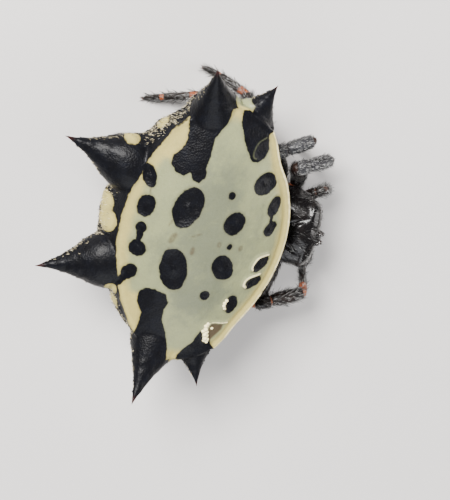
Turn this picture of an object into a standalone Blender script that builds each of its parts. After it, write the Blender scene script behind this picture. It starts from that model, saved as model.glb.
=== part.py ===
"""A spiny orb weaver (Gasteracantha kuhli, female) at life size, standing on its eight feet.

Sizes are in millimetres until settle() turns a finished piece into metres. A place is written as
(side, ahead, up): side is to the spider's own left, ahead is towards its head, measured from the
middle of its back, and up is above the floor. In the model the left is +X and the head faces -Y.
"""

import math

import bmesh
import bpy
import numpy as np
from mathutils import Matrix, Vector

MM = 0.001
GAP = 0.10  # air between two nodes that meet
MID_AHEAD = 0.80  # the middle of the whole length lies this far ahead of the middle of the back

# The back: a hard, gently domed plate, wider than long, with its rim raised a little.
BACK_UP = 4.70
BACK_CENTRE_AHEAD = 0.85
DOME_RISE = 0.12
DOME_FALL_ALONG = 0.137
DOME_FALL_ACROSS = 0.030
RIM_RISE = 0.05
# Outlines round the plate's centre: (degrees from the left towards the head, radius).
PLATE_OUTLINE = (
    (-90, 2.69), (-74, 2.75), (-58, 2.93), (-33, 3.57), (-21, 4.00), (-11, 4.32), (0, 4.40),
    (9, 4.30), (17, 4.06), (29, 3.42), (48, 3.00), (69, 2.78), (90, 2.71),
)
GIRTH_OUTLINE = (
    (-90, 3.20), (-74, 3.22), (-58, 3.30), (-33, 3.78), (-21, 4.02), (-11, 4.20), (0, 4.26),
    (9, 4.14), (17, 3.90), (29, 3.30), (48, 2.88), (69, 2.68), (90, 2.62),
)
# Height of the girth against the back's own zero: behind, at the sides and in front.
GIRTH_UP = (-1.85, -1.45, -1.22)
WALL_BULGE = 0.08
# Below the girth, rings as (share of the girth, height behind, at the sides, in front).
BELLY_RINGS = (
    (0.95, -2.20, -1.78, -1.45),
    (0.83, -2.62, -2.02, -1.72),
    (0.68, -2.95, -2.28, -2.12),
    (0.52, -3.18, -2.62, -2.62),
    (0.37, -3.32, -3.00, -3.05),
    (0.26, -3.40, -3.32, -3.34),
    (0.20, -3.42, -3.42, -3.42),
)
BELLY_CENTRE_AHEAD = 0.40
BELLY_NARROWING = 0.25
ABDOMEN_POINTS = 60

# Six spines: root (sunk in the body), tip, slope of the thorn, how much its root flares, and the
# widest that the root gets.
SPINES = {
    "posterior": ((1.58, -1.00, 3.20), (2.26, -4.07, 3.30), 0.26, 0.13, 1.10),
    "median": ((3.55, 0.40, 3.40), (5.80, -0.35, 5.11), 0.27, 0.05, 1.00),
    "anterior": ((3.75, 1.45, 3.55), (5.33, 1.89, 4.19), 0.30, 0.14, 1.00),
}
FLARE_POWER = 2.6
SPINE_POINT = 0.03
SPINE_FLATNESS = 0.82
SPINE_HIGHEST = 0.84
SPINE_SIDES = 10
SPINE_RINGS = 9

# Head and thorax: sections as (ahead, half width, lowest, highest). The mouth opens under the last ones.
THORAX_SECTIONS = (
    (2.40, 0.42, 1.72, 2.18),
    (2.60, 0.80, 1.45, 2.44),
    (3.00, 1.12, 1.30, 2.70),
    (3.50, 1.26, 1.26, 2.88),
    (4.00, 1.29, 1.28, 3.06),
    (4.40, 1.25, 1.40, 3.18),
    (4.56, 1.20, 2.12, 3.20),
    (4.80, 1.06, 2.18, 3.10),
    (4.94, 0.84, 2.28, 2.94),
)
THORAX_SIDES = 20
THORAX_SQUARENESS = 0.8
TURRET = ((0.0, 4.74, 2.86), (0.34, 0.34, 0.24))
# Eyes on the left: the two of the middle on the turret, the two of the side at the corner.
EYES = (
    ((0.15, 5.04, 2.92), 0.09),
    ((0.16, 4.93, 3.04), 0.08),
    ((0.92, 4.76, 2.84), 0.08),
    ((0.86, 4.86, 2.74), 0.07),
)
COXA_RADIUS = 0.25
COXA_ROOT_SHARE = 0.42
TROCHANTER_LENGTH = 0.30

# Legs on the left: hip, knee, end of the shank, ankle and foot.
LEGS_LEFT = {
    1: ((1.50, 4.25, 1.50), (2.25, 3.66, 2.80), (2.58, 4.80, 2.50), (1.74, 4.95, 0.85), (1.40, 5.02, 0.0)),
    2: ((1.52, 3.62, 1.48), (2.50, 2.86, 2.48), (3.14, 4.04, 2.50), (2.26, 4.30, 0.80), (1.92, 4.42, 0.0)),
    3: ((1.52, 3.02, 1.42), (2.95, 2.15, 2.00), (3.87, 1.86, 1.15), (4.10, 1.05, 0.46), (4.15, 0.55, 0.0)),
    4: ((1.36, 2.46, 1.36), (2.98, 1.48, 1.70), (3.50, 0.42, 0.96), (3.05, -0.60, 0.44), (2.76, -1.15, 0.0)),
}
# On the right the two front legs are held in other ways than on the left.
LEGS_RIGHT = {
    1: ((-1.50, 4.25, 1.50), (-2.85, 3.60, 2.50), (-2.26, 5.18, 2.40), (-1.78, 5.34, 0.95), (-1.60, 5.52, 0.0)),
    2: ((-1.52, 3.62, 1.48), (-2.72, 2.70, 2.36), (-3.30, 2.96, 1.60), (-3.22, 3.30, 0.62), (-3.12, 3.52, 0.0)),
}
PATELLA_SHARE = 0.32
PATELLA_ARCH = 0.06
# Radius of each segment at its start, middle and end.
LEG_RADII = {
    "femur": (0.24, 0.28, 0.25),
    "patella": (0.24, 0.26, 0.25),
    "tibia": (0.24, 0.26, 0.25),
    "metatarsus": (0.25, 0.25, 0.22),
    "tarsus": (0.21, 0.20, 0.17),
}
LEG_SIDES = 8
SEGMENT_CAP = 0.55
FOOT_RADIUS = 0.15

# Palps, jaws, waist and spinnerets.
PALP = ((0.95, 4.66, 1.66), (1.20, 4.82, 1.98), (1.34, 5.02, 2.00), (1.24, 5.20, 1.70), (1.10, 5.26, 1.30))
PALP_RADII = ((0.22, 0.25, 0.23), (0.23, 0.25, 0.24), (0.23, 0.25, 0.22), (0.22, 0.21, 0.14))
MAXILLA_ROOT = (0.60, 4.10, 1.75)
# The jaw's sections: (up, half width, half depth, ahead).
JAW_SECTIONS = (
    (2.04, 0.27, 0.22, 4.86),
    (1.85, 0.31, 0.29, 4.90),
    (1.45, 0.30, 0.30, 4.90),
    (1.10, 0.24, 0.24, 4.84),
    (0.92, 0.15, 0.16, 4.80),
)
JAW_SIDE = 0.38
JAW_SIDES = 12
FANG = ((0.36, 4.78, 1.02), (0.30, 4.68, 0.80), (0.24, 4.58, 0.74))
FANG_RADII = (0.10, 0.07, 0.02)
WAIST_UP = 1.95
WAIST_RADIUS = 0.26
WAIST_SIDES = 12
SPINNERET_RINGS = ((0.10, 0.56), (0.28, 0.58), (0.46, 0.48), (0.52, 0.44))  # (drop, radius)
SPINNERETS = ((0.17, 0.22, 0.13), (0.20, -0.16, 0.12), (0.12, 0.02, 0.10))  # (side, ahead, radius)
SPINNERET_ROOT_UP = 0.95
SPINNERET_TIP_UP = 0.50

MATERIALS = {
    "shell": ((0.62, 0.63, 0.50), 0.45),
    "black_cuticle": ((0.015, 0.014, 0.016), 0.35),
    "leg_cuticle": ((0.03, 0.025, 0.024), 0.45),
    "spinneret_brown": ((0.10, 0.045, 0.02), 0.5),
}


def clear_scene():
    """Empties the scene that Blender starts with."""
    for old in list(bpy.data.objects):
        bpy.data.objects.remove(old)


def place(side, ahead, up):
    """The point in millimetres of the model's frame."""
    return Vector((side, MID_AHEAD - ahead, up))


def mirrored(point, way):
    """The place itself for way 1, and on the other side for way -1."""
    return (point[0] * way, point[1], point[2])


def material(name):
    """The material of that name, made once."""
    found = bpy.data.materials.get(name)
    if found:
        return found
    colour, roughness = MATERIALS[name]
    made = bpy.data.materials.new(name)
    made.use_nodes = True
    shader = made.node_tree.nodes["Principled BSDF"]
    shader.inputs["Base Color"].default_value = (*colour, 1.0)
    shader.inputs["Roughness"].default_value = roughness
    shader.inputs["Metallic"].default_value = 0.0
    return made


def object_from(name, mesh):
    """A new object in the scene that shows the mesh."""
    made = bpy.data.objects.new(name, mesh)
    bpy.context.scene.collection.objects.link(made)
    return made


def loft(name, rings):
    """A closed body through rings of equally many points, its two ends filled flat."""
    work = bmesh.new()
    loops = [[work.verts.new(point) for point in ring] for ring in rings]
    count = len(rings[0])
    for lower, upper in zip(loops, loops[1:]):
        for i in range(count):
            j = (i + 1) % count
            work.faces.new((lower[i], lower[j], upper[j], upper[i]))
    work.faces.new(list(reversed(loops[0])))
    work.faces.new(loops[-1])
    bmesh.ops.recalc_face_normals(work, faces=work.faces[:])
    bmesh.ops.triangulate(work, faces=work.faces[:])
    mesh = bpy.data.meshes.new(name)
    work.to_mesh(mesh)
    work.free()
    return object_from(name, mesh)


def ball(name, centre, radii, rings=8, segments=12):
    """An ellipsoid, as a closed mesh."""
    work = bmesh.new()
    shape = Matrix.Translation(centre) @ Matrix.Diagonal((*radii, 1.0))
    bmesh.ops.create_uvsphere(work, u_segments=segments, v_segments=rings, radius=1.0, matrix=shape)
    mesh = bpy.data.meshes.new(name)
    work.to_mesh(mesh)
    work.free()
    return object_from(name, mesh)


def circle(sides):
    """The turns of a ring with that many sides."""
    return [2.0 * math.pi * k / sides for k in range(sides)]


def cross_ring(centre, direction, wide, high, sides):
    """An oval ring across a direction, its high way as near to upright as it can be."""
    direction = direction.normalized()
    across = direction.cross(Vector((0.0, 0.0, 1.0)))
    if across.length < 0.05:
        across = direction.cross(Vector((0.0, 1.0, 0.0)))
    across.normalize()
    rise = across.cross(direction).normalized()
    return [centre + across * (wide * math.cos(t)) + rise * (high * math.sin(t)) for t in circle(sides)]


def floor_ring(centre, wide, deep, sides):
    """A level oval ring."""
    return [centre + Vector((wide * math.cos(t), -deep * math.sin(t), 0.0)) for t in circle(sides)]


def largest_piece(mesh):
    """Keeps only the largest closed surface of the mesh."""
    work = bmesh.new()
    work.from_mesh(mesh)
    left, pieces = set(work.verts), []
    while left:
        found, edge = set(), [left.pop()]
        while edge:
            vert = edge.pop()
            found.add(vert)
            for link in vert.link_edges:
                other = link.other_vert(vert)
                if other in left:
                    left.discard(other)
                    edge.append(other)
        pieces.append(found)
    keep = max(pieces, key=len)
    bmesh.ops.delete(work, geom=[vert for vert in work.verts if vert not in keep], context="VERTS")
    work.to_mesh(mesh)
    work.free()


def fuse(body, pieces):
    """Joins the pieces to the body in one union, so that the body is one closed mesh."""
    group = bpy.data.collections.new(body.name + "_pieces")
    bpy.context.scene.collection.children.link(group)
    for piece in pieces:
        bpy.context.scene.collection.objects.unlink(piece)
        group.objects.link(piece)
    join = body.modifiers.new("join", "BOOLEAN")
    join.operation = "UNION"
    join.operand_type = "COLLECTION"
    join.collection = group
    join.solver = "EXACT"
    join.use_self = False
    bpy.context.view_layer.update()
    graph = bpy.context.evaluated_depsgraph_get()
    joined = bpy.data.meshes.new_from_object(body.evaluated_get(graph))
    body.modifiers.clear()
    body.data = joined
    for piece in pieces:
        bpy.data.objects.remove(piece)
    bpy.data.collections.remove(group)
    largest_piece(body.data)
    return body


def settle(body, look, seat, parent):
    """Finishes a piece: metres, its origin on its seat, its material and its parent."""
    body.data.transform(Matrix.Translation(-seat))
    body.data.transform(Matrix.Scale(MM, 4))
    body.location = seat * MM
    body.parent = parent
    body.data.materials.clear()
    body.data.materials.append(material(look))
    body.data.shade_smooth()
    body.data.set_sharp_from_angle(angle=math.radians(40))
    return body


def outline_radius(outline, degrees):
    """The radius of a mirrored outline in a direction, smooth between its points."""
    angle = (degrees + 180.0) % 360.0 - 180.0
    if abs(angle) > 90.0:
        angle = math.copysign(180.0, angle) - angle
    angles, radii = (list(column) for column in zip(*outline))
    angles = [-180.0 - angles[1], *angles, 180.0 - angles[-2]]
    radii = [radii[1], *radii, radii[-2]]
    slopes = np.gradient(radii, angles)
    k = int(np.clip(np.searchsorted(angles, angle) - 1, 1, len(angles) - 3))
    step = angles[k + 1] - angles[k]
    t = (angle - angles[k]) / step
    return (
        (2 * t**3 - 3 * t**2 + 1) * radii[k]
        + (t**3 - 2 * t**2 + t) * step * slopes[k]
        + (3 * t**2 - 2 * t**3) * radii[k + 1]
        + (t**3 - t**2) * step * slopes[k + 1]
    )


def back_height(side, ahead):
    """Height of the back above the floor."""
    along = DOME_FALL_ALONG * (ahead - BACK_CENTRE_AHEAD) ** 2
    return BACK_UP + DOME_RISE - along - DOME_FALL_ACROSS * side**2


def between(degrees, behind, beside, before):
    """A value between the ones that hold behind, at the sides and in front."""
    turn = math.sin(math.radians(degrees))
    end = before if turn > 0 else behind
    return beside + (end - beside) * turn * turn


def back_ring(share, lift):
    """A ring on the back, at a share of the plate's outline."""
    ring = []
    for turn in circle(ABDOMEN_POINTS):
        reach = share * outline_radius(PLATE_OUTLINE, math.degrees(turn))
        side = reach * math.cos(turn)
        ahead = BACK_CENTRE_AHEAD + reach * math.sin(turn)
        ring.append(place(side, ahead, back_height(side, ahead) + lift))
    return ring


def girth_ring(share, heights):
    """A ring at a share of the girth's outline, drawn in towards the middle of the belly."""
    ring = []
    centre = BELLY_CENTRE_AHEAD + (BACK_CENTRE_AHEAD - BELLY_CENTRE_AHEAD) * share
    for turn in circle(ABDOMEN_POINTS):
        degrees = math.degrees(turn)
        reach = share * outline_radius(GIRTH_OUTLINE, degrees)
        narrow = 1.0 - BELLY_NARROWING * (1.0 - share) * math.cos(turn) ** 2
        up = BACK_UP + between(degrees, *heights)
        ring.append(place(reach * narrow * math.cos(turn), centre + reach * math.sin(turn), up))
    return ring


def wall_ring(rim, girth, share):
    """A ring on the wall between the rim and the girth, which bulges a little."""
    ring = []
    for turn, above, below in zip(circle(ABDOMEN_POINTS), rim, girth):
        outward = Vector((math.cos(turn), -math.sin(turn), 0.0))
        ring.append(above.lerp(below, share) + outward * (WALL_BULGE * math.sin(math.pi * share)))
    return ring


def abdomen_rings():
    """The abdomen's rings, from the top of the back down to the flat under the belly."""
    rings = [back_ring(share, 0.0) for share in (0.04, 0.30, 0.55, 0.76, 0.90)]
    rings.append(back_ring(0.965, 0.5 * RIM_RISE))
    rim = back_ring(1.0, RIM_RISE)
    girth = girth_ring(1.0, GIRTH_UP)
    rings += [rim, wall_ring(rim, girth, 0.30), wall_ring(rim, girth, 0.65), girth]
    rings += [girth_ring(share, heights) for share, *heights in BELLY_RINGS]
    return rings


def spine(name, root, tip, slope, flare, widest):
    """One spine: a thorn that tapers to a point and flares where it leaves the shell."""
    length = (tip - root).length
    rings = []
    for k in range(SPINE_RINGS):
        share = (k / (SPINE_RINGS - 1)) ** 0.8
        back = length * (1.0 - share)
        wide = min(widest, max(SPINE_POINT, slope * back + flare * back**FLARE_POWER))
        high = min(SPINE_HIGHEST, SPINE_FLATNESS * wide)
        rings.append(cross_ring(root.lerp(tip, share), tip - root, wide, high, SPINE_SIDES))
    return loft(name, rings)


def abdomen(parent):
    """The abdomen with its six spines."""
    body = loft("abdomen", abdomen_rings())
    spines = []
    for way in (1, -1):
        for name, (root, tip, *shape) in SPINES.items():
            ends = place(*mirrored(root, way)), place(*mirrored(tip, way))
            spines.append(spine(f"{name}_{way}", *ends, *shape))
    return settle(fuse(body, spines), "shell", place(0.0, BACK_CENTRE_AHEAD, BACK_UP), parent)


def thorax_ring(ahead, half, low, high):
    """A section of head and thorax, squarer than an oval."""
    ring = []
    for turn in circle(THORAX_SIDES):
        across = math.copysign(abs(math.cos(turn)) ** THORAX_SQUARENESS, math.cos(turn))
        rise = math.copysign(abs(math.sin(turn)) ** THORAX_SQUARENESS, math.sin(turn))
        ring.append(place(half * across, ahead, (low + high) / 2 + (high - low) / 2 * rise))
    return ring


def coxa_axis(hip):
    """Where a coxa is rooted in the thorax, and its direction to the hip."""
    root = place(hip[0] * COXA_ROOT_SHARE, 0.75 * hip[1] + 0.25 * 3.45, hip[2] + 0.12)
    return root, (place(*hip) - root).normalized()


def coxa(name, hip):
    """The stub in which a leg is rooted. It ends a gap short of the leg."""
    root, way = coxa_axis(hip)
    end = place(*hip) - way * (TROCHANTER_LENGTH + GAP)
    shape = ((0.0, 0.16), (0.4, COXA_RADIUS), (0.75, COXA_RADIUS), (1.0, 0.23))
    return loft(name, [cross_ring(root.lerp(end, share), way, r, r, LEG_SIDES + 2) for share, r in shape])


def maxilla(name, way):
    """The stub beside the mouth in which a palp is rooted."""
    start, second = place(*mirrored(PALP[0], way)), place(*mirrored(PALP[1], way))
    direction = (second - start).normalized()
    end = start - direction * GAP
    root = place(*mirrored(MAXILLA_ROOT, way))
    rings = [
        cross_ring(root, end - root, 0.18, 0.18, LEG_SIDES),
        cross_ring(root.lerp(end, 0.6), end - root, 0.24, 0.24, LEG_SIDES),
        cross_ring(end, direction, PALP_RADII[0][0], PALP_RADII[0][0], LEG_SIDES),
    ]
    return loft(name, rings)


def cephalothorax(parent, legs):
    """Head and thorax in one: carapace, sternum, the leg stubs and the eyes."""
    body = loft("cephalothorax", [thorax_ring(*section) for section in THORAX_SECTIONS])
    centre, radii = TURRET
    pieces = [ball("turret", place(*centre), radii)]
    for name, joints in legs.items():
        pieces.append(coxa("coxa_" + name, joints[0]))
    for way in (1, -1):
        pieces.append(maxilla(f"maxilla_{way}", way))
        for k, (centre, radius) in enumerate(EYES):
            pieces.append(ball(f"eye_{k}_{way}", place(*mirrored(centre, way)), (radius,) * 3, 6, 8))
    return settle(fuse(body, pieces), "black_cuticle", place(0.0, THORAX_SECTIONS[3][0], 2.0), parent)


def segment(name, start, end, radii):
    """One segment of a leg: a slim barrel with rounded ends that reach past its joints."""
    way = (end - start).normalized()
    first, middle, last = radii
    before = start - way * (SEGMENT_CAP * first)
    after = end + way * (SEGMENT_CAP * last)
    shape = (
        (before, 0.55 * first),
        (start, first),
        (start.lerp(end, 0.5), middle),
        (end, last),
        (after, 0.55 * last),
    )
    return loft(name, [cross_ring(centre, way, radius, radius, LEG_SIDES) for centre, radius in shape])


def tarsus(name, start, foot):
    """The last segment, which ends in a small flat foot on the floor."""
    way = (foot - start).normalized()
    first, middle, last = LEG_RADII["tarsus"]
    rings = [
        cross_ring(start - way * (SEGMENT_CAP * first), way, 0.55 * first, 0.55 * first, LEG_SIDES),
        cross_ring(start, way, first, first, LEG_SIDES),
        cross_ring(start.lerp(foot, 0.62), way, middle, middle, LEG_SIDES),
    ]
    sole = floor_ring(foot, FOOT_RADIUS, FOOT_RADIUS, LEG_SIDES)
    rings.append(nearest_turn(sole, rings[-1]))
    return loft(name, rings)


def nearest_turn(ring, beside):
    """The ring turned, or turned over, so that its points lie nearest those of the ring beside it."""
    count = len(ring)
    options = [way[k:] + way[:k] for way in (ring, ring[::-1]) for k in range(count)]
    return min(options, key=lambda option: sum((a - b).length for a, b in zip(option, beside)))


def leg(name, joints, parent):
    """One leg, from the trochanter at the coxa's end to the foot."""
    hip, knee, shank, ankle, foot = (place(*joint) for joint in joints)
    way = coxa_axis(joints[0])[1]
    patella = knee.lerp(shank, PATELLA_SHARE) + Vector((0.0, 0.0, PATELLA_ARCH))
    start = hip - way * TROCHANTER_LENGTH
    first = LEG_RADII["femur"][0]
    rings = [
        cross_ring(start, way, 0.95 * first, 0.95 * first, LEG_SIDES),
        cross_ring(start.lerp(hip, 0.5), way, first, first, LEG_SIDES),
        cross_ring(hip, way, first, first, LEG_SIDES),
        cross_ring(hip + way * (SEGMENT_CAP * first), way, 0.55 * first, 0.55 * first, LEG_SIDES),
    ]
    body = loft("leg_" + name, rings)
    pieces = [
        segment("femur", hip, knee, LEG_RADII["femur"]),
        segment("patella", knee, patella, LEG_RADII["patella"]),
        segment("tibia", patella, shank, LEG_RADII["tibia"]),
        segment("metatarsus", shank, ankle, LEG_RADII["metatarsus"]),
        tarsus("tarsus", ankle, foot),
    ]
    return settle(fuse(body, pieces), "leg_cuticle", hip, parent)


def palp(name, way, parent):
    """One palp, a short feeler beside the jaws."""
    points = [place(*mirrored(point, way)) for point in PALP]
    start, end = points[:2]
    along = end - start
    first, middle, last = PALP_RADII[0]
    shape = ((0.0, first), (0.5, middle), (1.0, last), (1.25, 0.55 * last))
    body = loft(name, [cross_ring(start.lerp(end, share), along, r, r, LEG_SIDES) for share, r in shape])
    pieces = [
        segment(f"{name}_{k}", points[k], points[k + 1], PALP_RADII[k]) for k in range(1, len(PALP_RADII))
    ]
    return settle(fuse(body, pieces), "leg_cuticle", start, parent)


def jaw(name, way, parent):
    """One chelicera with its fang folded in below."""
    rings = [
        floor_ring(place(way * JAW_SIDE, ahead, up), half_wide, half_deep, JAW_SIDES)
        for up, half_wide, half_deep, ahead in JAW_SECTIONS
    ]
    points = [place(*mirrored(point, way)) for point in FANG]
    along = points[-1] - points[0]
    fang = loft("fang", [cross_ring(point, along, r, r, LEG_SIDES) for point, r in zip(points, FANG_RADII)])
    seat = place(way * JAW_SIDE, JAW_SECTIONS[0][3], JAW_SECTIONS[0][0])
    return settle(fuse(loft(name, rings), [fang]), "black_cuticle", seat, parent)


def waist(parent):
    """The narrow stalk between thorax and abdomen, cut along the belly's own slope."""
    quarter = ABDOMEN_POINTS // 4
    upper, lower = (girth_ring(share, heights)[quarter] for share, *heights in BELLY_RINGS[3:5])
    slope = (upper - lower).normalized()
    out = Vector((0.0, slope.z, -slope.y)) * (-1.0 if slope.z > 0 else 1.0)
    belly = lower.lerp(upper, (WAIST_UP - lower.z) / (upper.z - lower.z))
    back = belly + out * GAP
    front = place(0.0, THORAX_SECTIONS[0][0] - GAP, WAIST_UP)
    forward = Vector((0.0, -1.0, 0.0))
    slim = 0.9 * WAIST_RADIUS
    rings = [cross_ring(front, forward, WAIST_RADIUS, WAIST_RADIUS, WAIST_SIDES)]
    rings.append(cross_ring(front.lerp(back, 0.5), forward, slim, slim, WAIST_SIDES))
    end = cross_ring(back, out, WAIST_RADIUS, WAIST_RADIUS, WAIST_SIDES)
    rings.append(nearest_turn(end, rings[-1]))
    return settle(loft("pedicel", rings), "black_cuticle", front, parent)


def spinnerets(parent):
    """The raised ring under the belly and the six spinnerets in it."""
    top = BACK_UP + BELLY_RINGS[-1][1]
    body = loft(
        "spinnerets",
        [floor_ring(place(0.0, BELLY_CENTRE_AHEAD, top - drop), r, r, 20) for drop, r in SPINNERET_RINGS],
    )
    fingers = []
    for way in (1, -1):
        for k, (side, ahead, radius) in enumerate(SPINNERETS):
            root = place(side * way, BELLY_CENTRE_AHEAD + ahead, SPINNERET_ROOT_UP)
            tip = place(0.8 * side * way, BELLY_CENTRE_AHEAD + 0.8 * ahead, SPINNERET_TIP_UP)
            shape = ((0.0, radius), (0.7, 0.9 * radius), (1.0, 0.5 * radius))
            rings = [cross_ring(root.lerp(tip, share), tip - root, r, r, LEG_SIDES) for share, r in shape]
            fingers.append(loft(f"finger_{k}_{way}", rings))
    seat = place(0.0, BELLY_CENTRE_AHEAD, top - SPINNERET_RINGS[0][0])
    return settle(fuse(body, fingers), "spinneret_brown", seat, parent)


def all_legs():
    """Every leg's joints by its name, the right ones mirrored where they aren't held otherwise."""
    legs = {}
    for number, joints in LEGS_LEFT.items():
        legs[f"left_{number}"] = joints
        mirror = tuple(mirrored(joint, -1) for joint in joints)
        legs[f"right_{number}"] = LEGS_RIGHT.get(number, mirror)
    return legs


def main():
    """Builds every node under one empty."""
    clear_scene()
    spider = object_from("spiny_orb_weaver", None)
    legs = all_legs()
    abdomen(spider)
    cephalothorax(spider, legs)
    waist(spider)
    spinnerets(spider)
    for side, way in (("left", 1), ("right", -1)):
        jaw("chelicera_" + side, way, spider)
        palp("palp_" + side, way, spider)
    for name, joints in legs.items():
        leg(name, joints, spider)


main()
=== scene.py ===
"""The looks of a spiny orb weaver (Gasteracantha kuhli, female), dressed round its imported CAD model.

Sizes are in millimetres until a shape becomes a mesh. A place is (side, ahead, up): side is to the
spider's own left, ahead is towards its head, measured from the middle of its back, and up is above
the floor. In the model the left is +X and the head faces -Y.
"""

import logging
import math
from dataclasses import dataclass, field
from enum import Enum
from typing import Sequence

import bpy
import numpy as np
from mathutils import Matrix, Vector, noise


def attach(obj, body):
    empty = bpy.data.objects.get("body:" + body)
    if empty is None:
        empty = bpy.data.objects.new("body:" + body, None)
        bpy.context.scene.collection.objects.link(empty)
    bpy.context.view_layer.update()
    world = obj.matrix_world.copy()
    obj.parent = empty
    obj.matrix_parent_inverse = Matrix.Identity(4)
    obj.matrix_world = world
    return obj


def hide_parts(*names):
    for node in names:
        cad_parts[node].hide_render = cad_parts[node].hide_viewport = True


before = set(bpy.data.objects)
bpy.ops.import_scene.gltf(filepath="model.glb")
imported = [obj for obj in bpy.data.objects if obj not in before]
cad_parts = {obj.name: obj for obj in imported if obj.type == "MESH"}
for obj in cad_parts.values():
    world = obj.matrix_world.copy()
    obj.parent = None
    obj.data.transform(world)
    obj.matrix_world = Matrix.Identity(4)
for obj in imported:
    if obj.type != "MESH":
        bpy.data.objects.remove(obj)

LOG = logging.getLogger("spider")
MM = 0.001
MID_AHEAD = 0.80
BACK_UP = 4.70
TURN = 2.0 * math.pi
BODY = "root"
WAYS = (1, -1)
# Further than any mark reaches, in millimetres.
FAR = 9.0
# Two steps that ease a shape and keep its size: one inward, one outward.
EASING = (0.55, -0.57)
# Half the width of a hair's or grain's patch on the unwrap, and the lowest that a hair reaches.
PATCH_REACH = 0.0015
LEAST_UP = 0.004

Colour = tuple[float, float, float]
Point = tuple[float, float, float]


# Places and small sums on arrays.


def place(side: object, ahead: object, up: object) -> np.ndarray:
    """Points in millimetres of the model's frame."""
    back = MID_AHEAD - np.asarray(ahead, float)
    return np.stack(np.broadcast_arrays(np.asarray(side, float), back, up), -1)


def mirrored(point: Point, way: int) -> np.ndarray:
    """The point's place for way 1, and on the other side for way -1."""
    return place(point[0] * way, point[1], point[2])


def unit(vectors: np.ndarray) -> np.ndarray:
    """The vectors at length one."""
    return vectors / np.maximum(np.linalg.norm(vectors, axis=-1, keepdims=True), 1e-9)


def ease(values: np.ndarray, low: float, high: float) -> np.ndarray:
    """A smooth step from 0 at low to 1 at high."""
    share = np.clip((values - low) / (high - low), 0.0, 1.0)
    return share * share * (3.0 - 2.0 * share)


def hump(values: np.ndarray, width: float) -> np.ndarray:
    """A bell that is 1 at zero."""
    return np.exp(-((values / width) ** 2))


def ripple(points: np.ndarray, scale: float, seed: float = 0.0) -> np.ndarray:
    """Smooth noise between -1 and 1 at points, with so many swells to a millimetre."""
    return np.array([noise.noise(Vector(point)) for point in points * scale + seed])


def through(keys: np.ndarray, steps: int) -> np.ndarray:
    """A smooth run of values through keys.

    Args:
        keys: Values along their first axis.
        steps: How many steps lie between two keys.

    Returns:
        The keys with the values between them.
    """
    keys = np.asarray(keys, float)
    padded = np.concatenate([2 * keys[:1] - keys[1:2], keys, 2 * keys[-1:] - keys[-2:-1]])
    run = []
    for k in range(len(keys) - 1):
        a, b, c, d = padded[k : k + 4]
        for share in np.arange(steps) / steps:
            bend = (2 * a - 5 * b + 4 * c - d) * share**2 + (3 * b - a - 3 * c + d) * share**3
            run.append(b + 0.5 * ((c - a) * share + bend))
    return np.array([*run, keys[-1]])


def mean_beside(links: np.ndarray, values: np.ndarray) -> np.ndarray:
    """The mean of the values at the points beside each point.

    Args:
        links: What Shape.links() gave.
        values: A number or a place for each point.

    Returns:
        The means, in the form of the values.
    """
    count = np.bincount(links[:, 0], minlength=len(values))[:, None]
    columns = values.reshape(len(values), -1).T
    total = np.stack([np.bincount(links[:, 0], run[links[:, 1]]) for run in columns], 1)
    return (total / count).reshape(values.shape)


def from_path(path: Sequence[Sequence[float]], side: np.ndarray, ahead: np.ndarray) -> np.ndarray:
    """How far places on the back lie from a path.

    Args:
        path: Places (side, ahead) that it runs through.
        side: How far to the left each place lies.
        ahead: How far ahead each place lies.

    Returns:
        The distances.
    """
    nearest = np.full(len(side), np.inf)
    for (ax, ay), (bx, by) in zip(path, path[1:]):
        ex, ey = bx - ax, by - ay
        t = np.clip(((side - ax) * ex + (ahead - ay) * ey) / (ex * ex + ey * ey), 0, 1)
        nearest = np.minimum(nearest, np.hypot(side - ax - t * ex, ahead - ay - t * ey))
    return nearest


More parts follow.
